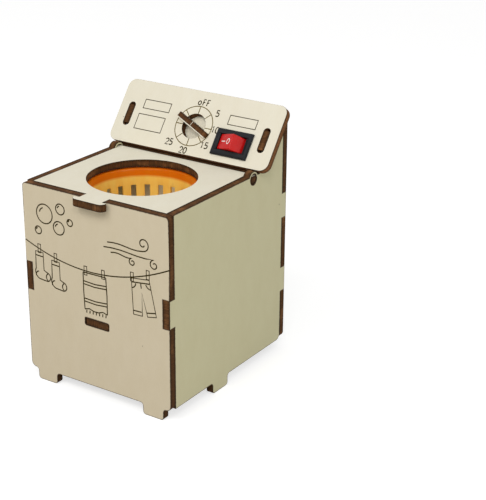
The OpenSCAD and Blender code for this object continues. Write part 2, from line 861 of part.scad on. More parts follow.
// ---- Tub ----

module tub_hub() {
    flange_h = 1.5;
    color("white") at_motor(hub_bottom) difference() {
        union() {
            cylinder(r = hub_sleeve_r, h = hub_h);
            translate([0, 0, hub_h - flange_h]) cylinder(r = hub_flange_r, h = flange_h);
        }
        on_shaft_bore(hub_h);
    }
}

// Cup section from the axis to a drafted wall, with a round lower corner
function cup_section(r_low, r_high, low, high, corner) = [
    [0, low],
    for (turn = [0:15:90]) [r_low - corner + corner * sin(turn), low + corner * (1 - cos(turn))],
    [r_high, high],
    [0, high]
];

// Clear orange cup with a flanged rim and a ring of drain slots
module tub() {
    wall_r = tub_r + tub_wall;
    rim_r = tub_outer_r - rim_h / 2;
    color("orange", 0.8) at_motor(tub_bottom) difference() {
        rotate_extrude($fn = 96) difference() {
            union() {
                polygon(cup_section(tub_floor_r + tub_wall, wall_r, 0, tub_height, tub_fillet + tub_wall));
                translate([0, tub_height - rim_h]) square([rim_r, rim_h]);
                translate([rim_r, tub_height - rim_h / 2]) circle(rim_h / 2, $fn = 24);
            }
            polygon(cup_section(tub_floor_r, tub_r, tub_wall, tub_height + over, tub_fillet));
            translate([-over, -over]) square([shaft_r + floor_gap + over, tub_wall + 2 * over]);
        }
        for (slot = [0:slot_count - 1]) rotate(slot_turn + slot * 360 / slot_count) {
            translate([-slot_w / 2, tub_floor_r - 2, slot_top - tub_bottom - slot_h])
                cube([slot_w, tub_wall + tub_draft + 4, slot_h]);
        }
    }
}

// ---- Battery bay ----

module holder_pad() {
    inset = 4;
    color("whitesmoke") stand()
        translate([inset - holder_w / 2, partition_y + sheet_t + face_gap, holder_z + inset])
            cube([holder_w - 2 * inset, pad_t - 2 * face_gap, holder_l - 2 * inset]);
}

// Open tray for two cells, its mouth to the back, with a finger scoop in each side
module battery_holder() {
    rib_h = 4;
    rib_t = 1;
    scoop_r = 9;
    scoop_out = 2;
    color("dimgray") stand() translate([-holder_w / 2, holder_y, holder_z]) difference() {
        cube([holder_w, holder_d, holder_l]);
        difference() {
            translate([holder_wall, holder_wall, holder_wall])
                cube([holder_w - 2 * holder_wall, holder_d, holder_l - 2 * holder_wall]);
            translate([(holder_w - rib_t) / 2, 0, 0]) cube([rib_t, holder_wall + rib_h, holder_l]);
        }
        translate([-over, holder_d + scoop_out, holder_l / 2]) rotate([0, 90, 0])
            cylinder(r = scoop_r, h = holder_w + 2 * over);
        translate([holder_w / 2, -holder_y, -holder_z]) cell_lugs(fit_gap);
    }
}

// Solder lugs that pass through the holder's upper end, one beside each lead
module cell_lugs(grow = 0) {
    low = holder_top - holder_wall - plate_t + face_gap;
    for (side = [-1, 1]) {
        translate([side * cell_x - cell_lug_w / 2 - grow, lead_y - wire_r - face_gap - plate_t - grow, low])
            cube([cell_lug_w + 2 * grow, plate_t + 2 * grow, holder_top + cell_lug_out - low]);
    }
}

// A cell, its nub up or down
module cell(side, nub_up) {
    bottom = holder_z + holder_wall + plate_t + (nub_up ? spring_l : nub_l);
    color("seagreen") stand() translate([side * cell_x, cell_y, bottom + (nub_up ? 0 : cell_l)])
        mirror([0, 0, nub_up ? 0 : 1]) {
            cylinder(r = cell_r, h = cell_l);
            cylinder(r = nub_r, h = cell_l + nub_l - face_gap);
        }
}

module cell_left() {
    cell(-1, false);
}

module cell_right() {
    cell(1, true);
}

// Conical coil between a contact plate and a cell's flat end
function spring_route(turns = 3, steps = 12) = [
    for (i = [0:turns * steps])
        let (share = i / (turns * steps), r = spring_low_r + (spring_high_r - spring_low_r) * share)
        [r * cos(360 * i / steps), r * sin(360 * i / steps),
         spring_wire_r + face_gap + share * (spring_l - 2 * spring_wire_r - 3 * face_gap)]
];

module contact_springs() {
    color("silver") stand() {
        translate([cell_x, cell_y, holder_z + holder_wall + plate_t])
            tube(spring_route(), spring_wire_r, spring_sides);
        translate([-cell_x, cell_y, holder_top - holder_wall - plate_t]) mirror([0, 0, 1])
            tube(spring_route(), spring_wire_r, spring_sides);
    }
}

// Plates behind the springs and nubs: a strip joins the lower two, and lugs take the leads
module contact_plates() {
    t = plate_t - 2 * face_gap;
    low = holder_z + holder_wall + face_gap;
    high = holder_top - holder_wall - plate_t + face_gap;
    color("silver") stand() {
        for (side = [-1, 1], z = [low, high]) {
            translate([side * cell_x - plate_w / 2, cell_y - plate_w / 2, z]) cube([plate_w, plate_w, t]);
        }
        translate([-cell_x, cell_y - strip_w / 2, low]) cube([2 * cell_x, strip_w, t]);
        cell_lugs();
    }
}

// ---- Wires ----

// Smooth curve through four points, at a share of the way from b to c
function blend_point(a, b, c, d, t) =
    0.5 * (2 * b + (c - a) * t + (2 * a - 5 * b + 4 * c - d) * t * t + (3 * b - a - 3 * c + d) * t * t * t);

// Points along a smooth route through the bend points
function smooth(p) = let (last = len(p) - 1) [
    for (i = [0:last - 1], k = [0:wire_steps - 1])
        blend_point(p[max(i - 1, 0)], p[i], p[i + 1], p[min(i + 2, last)], k / wire_steps),
    p[last]
];

function unit(v) = v / norm(v);

// Direction of a route at each of its points
function headings(p) = let (last = len(p) - 1) [
    for (i = [0:last]) unit(p[min(i + 1, last)] - p[max(i - 1, 0)])
];

// A side direction carried along the route without twisting
function side_start(h) = unit(cross(h, abs(h[2]) < 0.8 ? [0, 0, 1] : [1, 0, 0]));
function carried(side, h) = unit(side - h * (side * h));
function side_directions(h) = [
    for (i = 0, s = side_start(h[0]); i < len(h); i = i + 1, s = i < len(h) ? carried(s, h[i]) : s) s
];

// Round tube along a list of points
module tube(p, r, sides) {
    h = headings(p);
    s = side_directions(h);
    rings = len(p);
    points = [
        for (i = [0:rings - 1], k = [0:sides - 1])
            let (turn = 360 * k / sides)
            p[i] + r * (cos(turn) * s[i] + sin(turn) * cross(h[i], s[i]))
    ];
    walls = [
        for (i = [0:rings - 2], k = [0:sides - 1])
            let (next = (k + 1) % sides)
            [i * sides + k, (i + 1) * sides + k, (i + 1) * sides + next, i * sides + next]
    ];
    start = [for (k = [0:sides - 1]) k];
    end = [for (k = [sides - 1:-1:0]) (rings - 1) * sides + k];
    polyhedron(points, concat(walls, [start, end]));
}

module wire_cell_to_switch() {
    color("red") stand() tube(smooth(route_cell_to_switch), wire_r, wire_sides);
}

module wire_switch_to_motor() {
    color("red") stand() tube(smooth(route_switch_to_motor), wire_r, wire_sides);
}

module wire_motor_to_cell() {
    color("black") stand() tube(smooth(route_motor_to_cell), wire_r, wire_sides);
}

front_panel();
back_panel();
left_side_panel();
right_side_panel();
partition_panel();
motor_shelf();
control_panel();
lid();
dial_disc();
knob_bar();
switch_housing();
switch_rocker();
switch_terminals();
motor_can();
motor_end_cap();
motor_bush();
motor_magnets();
motor_brushes();
motor_terminals();
motor_shaft();
rotor_core();
rotor_windings();
commutator();
tub_hub();
tub();
holder_pad();
battery_holder();
cell_left();
cell_right();
contact_springs();
contact_plates();
wire_cell_to_switch();
wire_switch_to_motor();
wire_motor_to_cell();
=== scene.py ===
"""Finishes and fine detail of a plywood toy washing machine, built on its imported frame."""

import json
import math
from contextlib import contextmanager

import bpy
from bpy.props import FloatProperty, FloatVectorProperty, PointerProperty
from bpy.types import Operator, Panel, PropertyGroup
from mathutils import Matrix, Vector
from mathutils.bvhtree import BVHTree

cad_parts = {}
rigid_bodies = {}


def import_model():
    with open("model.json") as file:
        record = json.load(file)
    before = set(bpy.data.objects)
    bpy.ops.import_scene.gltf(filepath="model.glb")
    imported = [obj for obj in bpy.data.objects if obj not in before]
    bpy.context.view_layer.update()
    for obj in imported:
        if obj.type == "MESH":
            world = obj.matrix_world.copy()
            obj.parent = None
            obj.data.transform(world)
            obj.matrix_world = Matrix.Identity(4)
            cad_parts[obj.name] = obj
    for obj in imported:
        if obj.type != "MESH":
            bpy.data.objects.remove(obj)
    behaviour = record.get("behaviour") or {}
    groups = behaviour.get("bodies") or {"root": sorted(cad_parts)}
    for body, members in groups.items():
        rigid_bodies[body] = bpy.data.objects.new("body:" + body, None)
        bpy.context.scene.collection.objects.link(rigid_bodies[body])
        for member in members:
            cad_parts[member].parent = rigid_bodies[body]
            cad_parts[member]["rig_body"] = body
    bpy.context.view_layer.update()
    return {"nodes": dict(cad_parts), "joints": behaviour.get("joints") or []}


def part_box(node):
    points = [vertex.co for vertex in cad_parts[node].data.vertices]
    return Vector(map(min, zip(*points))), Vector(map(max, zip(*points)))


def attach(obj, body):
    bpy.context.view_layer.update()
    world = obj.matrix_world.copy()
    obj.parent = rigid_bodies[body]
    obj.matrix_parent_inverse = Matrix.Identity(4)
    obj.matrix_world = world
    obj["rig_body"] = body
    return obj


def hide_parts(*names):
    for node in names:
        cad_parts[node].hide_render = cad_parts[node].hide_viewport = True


bl_info = {
    "name": "Toy Washing Machine",
    "version": (1, 0, 0),
    "blender": (4, 5, 0),
    "location": "View3D > Sidebar > Toy Washer",
    "description": "Builds a toy washing machine: plywood case, tub, switch, motor and battery bay",
    "category": "Object",
}

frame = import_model()

MM = 0.001
JOINTS = {joint["name"]: joint for joint in frame["joints"]}
UP = Vector((0, 0, 1))
ACROSS = Vector((1, 0, 0))

# Corners closer than this are merged
WELD = 0.002 * MM

# The control panel's own frame: across, up its slope and out of its face
DIAL_CENTRE = Vector(JOINTS["dial_turn"]["pos_m"])
SLOPE_NORMAL = Vector(JOINTS["dial_turn"]["axis"])
UP_SLOPE = SLOPE_NORMAL.cross(ACROSS)
PANEL_LOW_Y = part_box("control_panel")[0].y
PANEL_ORIGIN = DIAL_CENTRE - UP_SLOPE * ((DIAL_CENTRE.y - PANEL_LOW_Y) / UP_SLOPE.y)
PANEL_ORIGIN.x = 0

FRONT_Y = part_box("front_panel")[0].y


# ---- Sizes and colors that a user would change ----


def number_property(name, description, default, **limits):
    return FloatProperty(name=name, description=description, default=default, **limits)


def length_property(name, description, default):
    return number_property(name, description, default, min=0, subtype="DISTANCE", precision=5)


def color_property(name, description, default):
    return FloatVectorProperty(
        name=name, description=description, default=default, size=3, min=0, max=1, subtype="COLOR"
    )


def share_property(name, description, default):
    return number_property(name, description, default, min=0, max=1, subtype="FACTOR")


def power_property(name, description, default):
    return number_property(name, description, default, min=0)


def angle_property(name, description, degrees):
    return number_property(name, description, math.radians(degrees), subtype="ANGLE")


class PlySettings(PropertyGroup):
    # All the sheets are one plywood, and these four face colours differ as painted light and shade.
    # The lid's, also used for the control panel, dial and knob, is painted lighter as if lit from
    # above. The front's and the sides' are painted darker as shade. The inner sheets' is painted
    # lighter to stand in for light inside the case.
    lid_painted_light_color: color_property("Lid", "Bare face of lid and control panel", (0.80, 0.76, 0.64))
    front_painted_shade_color: color_property("Front", "Bare face of the front panel", (0.70, 0.61, 0.45))
    side_painted_shade_color: color_property("Sides", "Bare face of the side panels", (0.71, 0.665, 0.435))
    inner_painted_light_color: color_property("Inside", "Back, shelf and partition", (0.77, 0.695, 0.515))
    burn_color: color_property("Cut edge", "Middle of a laser-burnt edge", (0.12, 0.049, 0.016))
    # A lighter burn colour, painted light on the control panel's cut edges where they lie in shade.
    painted_light_burn_color: color_property("Light edge", "Edge of the control panel", (0.36, 0.15, 0.062))
    char_color: color_property("Char", "Darkest part of a burnt edge", (0.018, 0.011, 0.005))
    edge_round: length_property("Edge round", "Width of the worn corner of a face", 0.07 * MM)
    veneer_t: length_property("Bare veneer", "Unburnt layer along one side of the knob", 0.4 * MM)
    scorch_w: length_property("Scorch", "Width of the smoke-darkened rim of a face", 0.42 * MM)


class EngravingSettings(PropertyGroup):
    drawing_line: length_property("Drawing line", "Width of the lines on the front", 0.53 * MM)
    panel_line: length_property("Panel line", "Width of the lines of the dial's ring", 0.36 * MM)
    label_h: length_property("Label height", "Height of the figures round the dial", 2.3 * MM)
    label_line: length_property("Label line", "Stroke of the figures and boxes", 0.48 * MM)
    ring_r: length_property("Ring radius", "Radius of the ring round the dial", 7.7 * MM)
    tick_l: length_property("Tick length", "Length of the ticks inside the ring", 2.8 * MM)
    nick_line: length_property("Nick", "Width of the pale nick across the knob", 0.3 * MM)
    nick_l: length_property("Nick length", "Length of that nick, past both sides", 3.2 * MM)
    line_color: color_property("Line", "Floor of an engraved line", (0.052, 0.036, 0.004))
    ring_color: color_property("Ring", "Floor of the ring's shallow line", (0.20, 0.145, 0.032))


class TubSettings(PropertyGroup):
    wall_color: color_property("Wall", "Clear plastic of the tub's wall", (1.0, 0.68, 0.15))
    rim_color: color_property("Rim", "Same plastic where the rim is thick", (0.74, 0.175, 0.004))
    hub_color: color_property("Hub", "Plastic of the hub", (0.80, 0.79, 0.74))
    lamp_share: share_property("Lamp share", "Lamp light that passes each face of the wall", 0.97)
    clearness: share_property("Clearness", "How much of the wall is clear as glass", 0.04)
    rim_h: length_property("Rim height", "Height of the rim, deeper in color", 3.3 * MM)
    tub_round: length_property("Tub edge", "Rounding of the tub's edges", 0.16 * MM)
    hub_round: length_property("Hub edge", "Rounding of the hub's edges", 0.25 * MM)


class SwitchSettings(PropertyGroup):
    bezel_color: color_property("Bezel", "Plastic of the switch body", (0.011, 0.012, 0.014))
    rocker_color: color_property("Rocker", "Plastic of the rocker", (0.58, 0.008, 0.008))
    mark_color: color_property("Marks", "Print on the rocker", (0.86, 0.86, 0.84))
    dash_l: length_property("Dash", "Length of the ON mark", 2.1 * MM)
    dash_in: length_property("Dash place", "From the middle of the facet to the ON mark", 1.05 * MM)
    ring_l: length_property("Ring", "Height of the OFF mark", 2.25 * MM)
    ring_in: length_property("Ring place", "From the middle of the facet to the OFF mark", 1.8 * MM)
    mark_line: length_property("Mark line", "Stroke of both marks", 0.36 * MM)
    lip_w: length_property("Lip", "Reach of the lip at each end of the rocker's window", 0.7 * MM)
    lip_l: length_property("Lip length", "Length of each lip, with what the rim hides", 6.6 * MM)
    lip_t: length_property("Lip thickness", "Thickness of each lip", 0.5 * MM)
    lip_drop: length_property("Lip drop", "Fall of each lip towards the rocker", 0.25 * MM)
    lip_hidden: length_property("Lip root", "Part of each lip that lies in the rim", 0.5 * MM)
    lip_sunk: length_property("Lip depth", "Depth of the lips under the rim's face", 0.02 * MM)
    body_round: length_property("Body edge", "Rounding of the switch body's edges", 0.14 * MM)
    rocker_round: length_property("Rocker edge", "Rounding of the rocker's edges", 0.28 * MM)
    blade_round: length_property("Blade edge", "Rounding of the blades' edges", 0.12 * MM)
    mark_t: length_property("Mark thickness", "Thickness of the printed ON mark", 0.1 * MM)


class InsideSettings(PropertyGroup):
    steel_color: color_property("Steel", "Motor can, shaft and springs", (0.58, 0.58, 0.57))
    brass_color: color_property("Brass", "Lugs, blades and brushes", (0.78, 0.56, 0.22))
    copper_color: color_property("Copper", "Motor windings", (0.70, 0.25, 0.09))
    magnet_color: color_property("Magnet", "Pressed ferrite", (0.055, 0.055, 0.06))
    cap_color: color_property("End cap", "Plastic cap of the motor", (0.80, 0.77, 0.66))
    holder_color: color_property("Holder", "Plastic of the cell holder", (0.028, 0.028, 0.030))
    foam_color: color_property("Foam", "Foam pad behind the holder", (0.75, 0.75, 0.73))
    sleeve_color: color_property("Sleeve", "Film round each cell", (0.05, 0.26, 0.12))
    red_color: color_property("Red wire", "Insulation of the switch's leads", (0.55, 0.015, 0.012))
    black_color: color_property("Black wire", "Insulation of the return lead", (0.018, 0.018, 0.02))
    solder_color: color_property("Solder", "Tinned joints", (0.66, 0.66, 0.64))
    solder_r: length_property("Solder drop", "Radius of a drop of solder", 0.95 * MM)
    nub_r: length_property("Cell nub", "Radius of the nub on a cell", 2.75 * MM)


class StageSettings(PropertyGroup):
    camera_place: FloatVectorProperty(
        name="Camera", description="Place of the camera", default=(0.2644, -0.3482, 0.2225),
        size=3, subtype="TRANSLATION",
    )
    camera_azimuth: angle_property("Azimuth", "Turn of the camera round the toy", 33.14)
    camera_elevation: angle_property("Elevation", "Height of the camera over the horizon", 22.14)
    camera_roll: angle_property("Roll", "Tilt of the picture", 0.54)
    camera_lens: number_property("Lens", "Focal length in mm", 94.752, min=10)
    key_power: power_property("Key", "Power of the key light in W", 2.04)
    front_power: power_property("Front", "Power of the front light in W", 1.08)
    fill_power: power_property("Fill", "Power of the fill light in W", 0.56)
    sky_strength: power_property("Sky", "Light from all round", 0.50)
    floor_half: length_property("Floor", "Half the width of the floor", 3.0)
    floor_color: color_property("Floor color", "Color under the toy's shadow", (0.5, 0.5, 0.5))
    floor_glow: power_property("Floor glow", "White that the camera sees on the floor", 0.68)


SETTINGS = {
    "washer_ply": PlySettings,
    "washer_engraving": EngravingSettings,
    "washer_tub": TubSettings,
    "washer_switch": SwitchSettings,
    "washer_inside": InsideSettings,
    "washer_stage": StageSettings,
}


# ---- Modelling by hand, in short steps ----


def only(piece):
    """Select this piece and nothing else, and make it active."""
    bpy.ops.object.select_all(action="DESELECT")
    piece.select_set(True)
    bpy.context.view_layer.objects.active = piece


def linked(name, data):
    piece = bpy.data.objects.new(name, data)
    bpy.context.scene.collection.objects.link(piece)
    return piece


@contextmanager
def edit_mode(piece, select_all=False):
    """Work on a piece in edit mode, with all of it selected or with what is selected already."""
    only(piece)
    bpy.ops.object.mode_set(mode="EDIT")
    if select_all:
        bpy.ops.mesh.select_all(action="SELECT")
    yield
    bpy.ops.object.mode_set(mode="OBJECT")


def deselect_all(piece, faces):
    """Let edit mode select faces, or else corners, and deselect all of a piece's."""
    bpy.context.tool_settings.mesh_select_mode = (not faces, False, faces)
    with edit_mode(piece):
        bpy.ops.mesh.select_all(action="DESELECT")


def merged_copy(node, name, flat=True):
    """A clean copy of a CAD node's mesh: its corners merged and, where flat, its faces joined."""
    piece = linked(name, frame["nodes"][node].data.copy())
    piece.data.materials.clear()
    only(piece)
    bpy.ops.mesh.customdata_custom_splitnormals_clear()
    with edit_mode(piece, select_all=True):
        bpy.ops.mesh.remove_doubles(threshold=WELD)
        if flat:
            bpy.ops.mesh.dissolve_limited(angle_limit=math.radians(0.5))
        else:
            bent = math.radians(60)
            bpy.ops.mesh.tris_convert_to_quads(face_threshold=bent, shape_threshold=bent)
        bpy.ops.mesh.normals_make_consistent(inside=False)
    return piece


def apply_modifier(piece, kind, **settings):
    modifier = piece.modifiers.new(kind.lower(), kind)
    for name, value in settings.items():
        setattr(modifier, name, value)
    only(piece)
    bpy.ops.object.modifier_apply(modifier=modifier.name)


def round_edges(piece, width, segments=2, angle=40):
    apply_modifier(
        piece, "BEVEL", width=width, segments=segments, limit_method="ANGLE",
        angle_limit=math.radians(angle), use_clamp_overlap=False,
    )


def smooth(piece, angle=35):
    only(piece)
    bpy.ops.object.shade_smooth_by_angle(angle=math.radians(angle))


def rounded_part(node, name, material, width, segments=2):
    """A copy of a CAD node with rounded edges."""
    piece = merged_copy(node, name)
    round_edges(piece, width, segments)
    smooth(piece)
    settle(piece, material, nodes=[node])


def settle(piece, material, body=None, nodes=()):
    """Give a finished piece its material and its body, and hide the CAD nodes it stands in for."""
    if material is not None:
        piece.data.materials.append(material)
    if nodes:
        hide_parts(*nodes)
    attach(piece, body or frame["nodes"][nodes[0]]["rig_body"])


def apply_place(piece):
    only(piece)
    bpy.ops.object.transform_apply(location=True, rotation=True, scale=True)


def frame_matrix(place, x_axis, z_axis):
    """A matrix at a place with the given x and z directions."""
    z_axis = z_axis.normalized()
    y_axis = z_axis.cross(x_axis).normalized()
    x_axis = y_axis.cross(z_axis)
    turned = Matrix((x_axis, y_axis, z_axis)).transposed().to_4x4()
    return Matrix.Translation(place) @ turned


def spun(name, outline, centre):
    """Turn an outline of (radius, height) points round the upright line through centre."""
    points = [centre + Vector((radius, 0, height)) for radius, height in outline]
    mesh = bpy.data.meshes.new(name)
    mesh.from_pydata(points, [(i, i + 1) for i in range(len(points) - 1)], [])
    piece = linked(name, mesh)
    with edit_mode(piece, select_all=True):
        bpy.ops.mesh.spin(steps=64, angle=2 * math.pi, center=centre, axis=UP)
        bpy.ops.mesh.select_all(action="SELECT")
        bpy.ops.mesh.remove_doubles(threshold=WELD)
        bpy.ops.mesh.normals_make_consistent(inside=False)
    return piece


# ---- Shader helpers ----


def put(tree, value, socket):
    """Link a socket, or set a plain value."""
    if isinstance(value, bpy.types.NodeSocket):
        tree.links.new(value, socket)
    elif value is not None:
        socket.default_value = value


def shader_group(name, inputs):
    """A group that takes a place and these inputs and gives color, roughness and height."""
    tree = bpy.data.node_groups.new(name, "ShaderNodeTree")
    tree.interface.new_socket("Vector", in_out="INPUT", socket_type="NodeSocketVector")
    for label, value in inputs.items():
        kind = "NodeSocketFloat" if isinstance(value, float) else "NodeSocketColor"
        tree.interface.new_socket(label, in_out="INPUT", socket_type=kind).default_value = value
    for label, kind in (("Color", "Color"), ("Roughness", "Float"), ("Height", "Float")):
        tree.interface.new_socket(label, in_out="OUTPUT", socket_type="NodeSocket" + kind)
    return tree, tree.nodes.new("NodeGroupInput").outputs, tree.nodes.new("NodeGroupOutput").inputs


def maths(tree, operation, a, b=None):
    made = tree.nodes.new("ShaderNodeMath")
    made.operation = operation
    put(tree, a, made.inputs[0])
    put(tree, b, made.inputs[1])
    return made.outputs[0]


def share(tree, value, low, high, to_low=0.0, to_high=1.0):
    """Where a value lies between low and high, kept within the new range."""
    made = tree.nodes.new("ShaderNodeMapRange")
    for socket, number in zip(made.inputs[:5], (value, low, high, to_low, to_high)):
        put(tree, number, socket)
    return made.outputs[0]


def mixed(tree, factor, a, b, blend="MIX"):
    made = tree.nodes.new("ShaderNodeMix")
    made.data_type = "RGBA"
    made.blend_type = blend
    put(tree, factor, made.inputs[0])
    put(tree, a, made.inputs[6])
    put(tree, b, made.inputs[7])
    return made.outputs[2]


def stretched(tree, vector, x, y, z):
    made = tree.nodes.new("ShaderNodeVectorMath")
    made.operation = "MULTIPLY"
    put(tree, vector, made.inputs[0])
    made.inputs[1].default_value = (x, y, z)
    return made.outputs[0]


def noise(tree, vector, scale, detail, roughness=0.6):
    made = tree.nodes.new("ShaderNodeTexNoise")
    put(tree, vector, made.inputs["Vector"])
    made.inputs["Scale"].default_value = scale
    made.inputs["Detail"].default_value = detail
    made.inputs["Roughness"].default_value = roughness
    return made.outputs[0]


def z_part(tree, vector):
    apart = tree.nodes.new("ShaderNodeSeparateXYZ")
    put(tree, vector, apart.inputs[0])
    return apart.outputs["Z"]


def with_alpha(color):
    return (*color, 1.0)


# What the grain multiplies the face by, and the colors of its pores and of lighter burnt patches
GRAIN_TINT = (0.80, 0.74, 0.60, 1)
PORE_COLOR = (0.17, 0.12, 0.06, 1)
EMBER_COLOR = (0.27, 0.118, 0.042, 1)

# In millimetres: the depth over which a face turns into burnt edge, the depth over which the char
# fades, how far from the middle of a sheet its glue shows, and how softly the bare veneer ends
BURN_DEPTH = (0.008, 0.022)
CHAR_DEPTH = (0.12, 0.60)
GLUE_LINE = (0.40, 0.52)
VENEER_BLUR = 0.06


def pores(tree, place):
    """A mask of the few small dark pores of a sheet's face, each a short dash along the grain."""
    cells_per_mm, empty_share = 0.13, 0.62
    dot_core, dot_rim, darkness = 0.016, 0.03, 0.8
    cells = tree.nodes.new("ShaderNodeTexVoronoi")
    cells.inputs["Scale"].default_value = cells_per_mm
    put(tree, stretched(tree, place, 1, 0.6, 1), cells.inputs["Vector"])
    pick = tree.nodes.new("ShaderNodeSeparateColor")
    put(tree, cells.outputs["Color"], pick.inputs[0])
    dot = share(tree, cells.outputs["Distance"], dot_core, dot_rim, darkness, 0)
    return maths(tree, "MULTIPLY", dot, maths(tree, "GREATER_THAN", pick.outputs[0], empty_share))


def ply_group(name):
    """Plywood cut by a laser: pale grained faces and burnt, layered edges."""
    tree, given, wanted = shader_group(name, {
        "Half Thickness": 1.35,
        "Face Color": (0.8, 0.75, 0.6, 1),
        "Burn Color": (0.1, 0.05, 0.03, 1),
        "Char Color": (0.02, 0.01, 0.01, 1),
        "Scorch": 0.0,
        "Bare Veneer": 0.0,
    })
    place = given["Vector"]
    height = z_part(tree, place)
    across = maths(tree, "ABSOLUTE", height)
    depth = maths(tree, "SUBTRACT", given["Half Thickness"], across)
    side_depth = maths(tree, "SUBTRACT", given["Half Thickness"], height)
    bare_end = maths(tree, "SUBTRACT", given["Bare Veneer"], VENEER_BLUR)
    bare = share(tree, side_depth, given["Bare Veneer"], bare_end)
    covered = maths(tree, "SUBTRACT", 1, bare)
    burnt = maths(tree, "MULTIPLY", share(tree, depth, *BURN_DEPTH), covered)
    inner = share(tree, depth, *CHAR_DEPTH)

    fibre = noise(tree, stretched(tree, place, 1, 0.06, 0.3), 7.0, 3.0)
    cloud = noise(tree, stretched(tree, place, 1, 0.45, 1), 0.22, 3.0, 0.55)
    fleck = noise(tree, stretched(tree, place, 1, 0.5, 1), 2.6, 2.0)
    tone = share(tree, fibre, 0.3, 0.7, 0, 0.45)
    tone = maths(tree, "ADD", tone, share(tree, cloud, 0.3, 0.7, 0, 0.55))
    tone = maths(tree, "ADD", tone, share(tree, fleck, 0.35, 0.75, 0, 0.3))
    shade = maths(tree, "MULTIPLY", tone, 0.22)
    face = mixed(tree, shade, given["Face Color"], GRAIN_TINT, "MULTIPLY")
    face = mixed(tree, pores(tree, place), face, PORE_COLOR)

    streak = noise(tree, stretched(tree, place, 1, 1, 0.08), 3.2, 3.0)
    glue = maths(tree, "MULTIPLY", share(tree, across, *GLUE_LINE), 0.2)
    soot = maths(tree, "ADD", share(tree, streak, 0.34, 0.66, 0, 0.6), glue)
    soot = maths(tree, "MAXIMUM", soot, share(tree, inner, 0, 1, 0.95, 0))
    ember = mixed(tree, share(tree, cloud, 0.5, 0.62, 0, 0.75), given["Burn Color"], EMBER_COLOR)
    edge = mixed(tree, soot, ember, given["Char Color"])
    ragged = maths(tree, "ADD", given["Scorch"], share(tree, fleck, 0.3, 0.7, -0.15, 0.15))
    smoke = maths(tree, "MULTIPLY", share(tree, ragged, 0.15, 0.7), 0.95)
    rim = mixed(tree, given["Scorch"], given["Burn Color"], given["Char Color"])
    smoked = mixed(tree, smoke, face, rim)

    put(tree, mixed(tree, burnt, smoked, edge), wanted["Color"])
    put(tree, share(tree, burnt, 0, 1, 0.62, 0.86), wanted["Roughness"])
    put(tree, maths(tree, "ADD", fibre, maths(tree, "MULTIPLY", fleck, 0.8)), wanted["Height"])
    return tree


def surface_group(name):
    """Fine variation of a moulded, drawn or rubbed surface: its color, sheen and relief."""
    tree, given, wanted = shader_group(name, {
        "Color": (0.5, 0.5, 0.5, 1),
        "Worn Color": (0.4, 0.4, 0.4, 1),
        "Roughness": 0.4,
        "Spread": 0.12,
    })
    broad = noise(tree, given["Vector"], 0.35, 3.0)
    fine = noise(tree, given["Vector"], 9.0, 2.0)
    worn = share(tree, maths(tree, "ADD", broad, maths(tree, "MULTIPLY", fine, 0.35)), 0.5, 0.9)
    put(tree, mixed(tree, worn, given["Color"], given["Worn Color"]), wanted["Color"])
    swing = maths(tree, "MULTIPLY", maths(tree, "SUBTRACT", worn, 0.5), given["Spread"])
    put(tree, maths(tree, "ADD", given["Roughness"], swing), wanted["Roughness"])
    put(tree, fine, wanted["Height"])
    return tree


def new_material(name):
    material = bpy.data.materials.new(name)
    material.use_nodes = True
    return material, material.node_tree, material.node_tree.nodes["Principled BSDF"]


def object_mapping(tree, place=(0, 0, 0), turn=(0, 0, 0), stretch=(1, 1, 1)):
    """Object coordinates in millimetres, seen from a place and turn of the piece."""
    coordinate = tree.nodes.new("ShaderNodeTexCoord")
    mapping = tree.nodes.new("ShaderNodeMapping")
    mapping.vector_type = "TEXTURE"
    mapping.inputs["Location"].default_value = place
    mapping.inputs["Rotation"].default_value = turn
    mapping.inputs["Scale"].default_value = [MM * part for part in stretch]
    put(tree, coordinate.outputs["Object"], mapping.inputs["Vector"])
    return mapping.outputs["Vector"]


def place_group(tree, name, build, values):
    """Place a group, which is built once, with a material's own values."""
    made = tree.nodes.new("ShaderNodeGroup")
    made.node_tree = bpy.data.node_groups.get(name) or build(name)
    for label, value in values.items():
        put(tree, value, made.inputs[label])
    return made.outputs


# Depth of the fine relief of all surfaces
RELIEF_DEPTH = 0.03 * MM


def feed(tree, shader, outputs, relief):
    """Feed a group's color, roughness and relief to the material's own shader."""
    bump = tree.nodes.new("ShaderNodeBump")
    bump.inputs["Strength"].default_value = relief
    bump.inputs["Distance"].default_value = RELIEF_DEPTH
    put(tree, outputs["Height"], bump.inputs["Height"])
    put(tree, outputs["Color"], shader.inputs["Base Color"])
    put(tree, outputs["Roughness"], shader.inputs["Roughness"])
    put(tree, bump.outputs["Normal"], shader.inputs["Normal"])


def fine_material(
    name, color, roughness, worn=0.75, relief=0.25, metallic=0.0, stretch=(1, 1, 1), specular=0.5
):
    """A material with fine variation; worn scales the color of its rubbed parts."""
    found = bpy.data.materials.get(name)
    if found:
        return found
    material, tree, shader = new_material(name)
    outputs = place_group(tree, "fine_surface", surface_group, {
        "Vector": object_mapping(tree, stretch=stretch),
        "Color": with_alpha(color),
        "Worn Color": with_alpha([part * worn for part in color]),
        "Roughness": roughness,
    })
    feed(tree, shader, outputs, relief)
    shader.inputs["Metallic"].default_value = metallic
    shader.inputs["Specular IOR Level"].default_value = specular
    return material


def metal(name, color, roughness, stretch=(1, 1, 1)):
    return fine_material(name, color, roughness, metallic=1.0, stretch=stretch)


# ---- Plywood ----


def broad_normal(piece):
    """The normal of a sheet's face that looks to the front, the left or upwards."""
    normal = max(piece.data.polygons, key=lambda face: face.area).normal.copy()
    return normal if normal.dot(Vector((-1, -1, 1))) > 0 else -normal


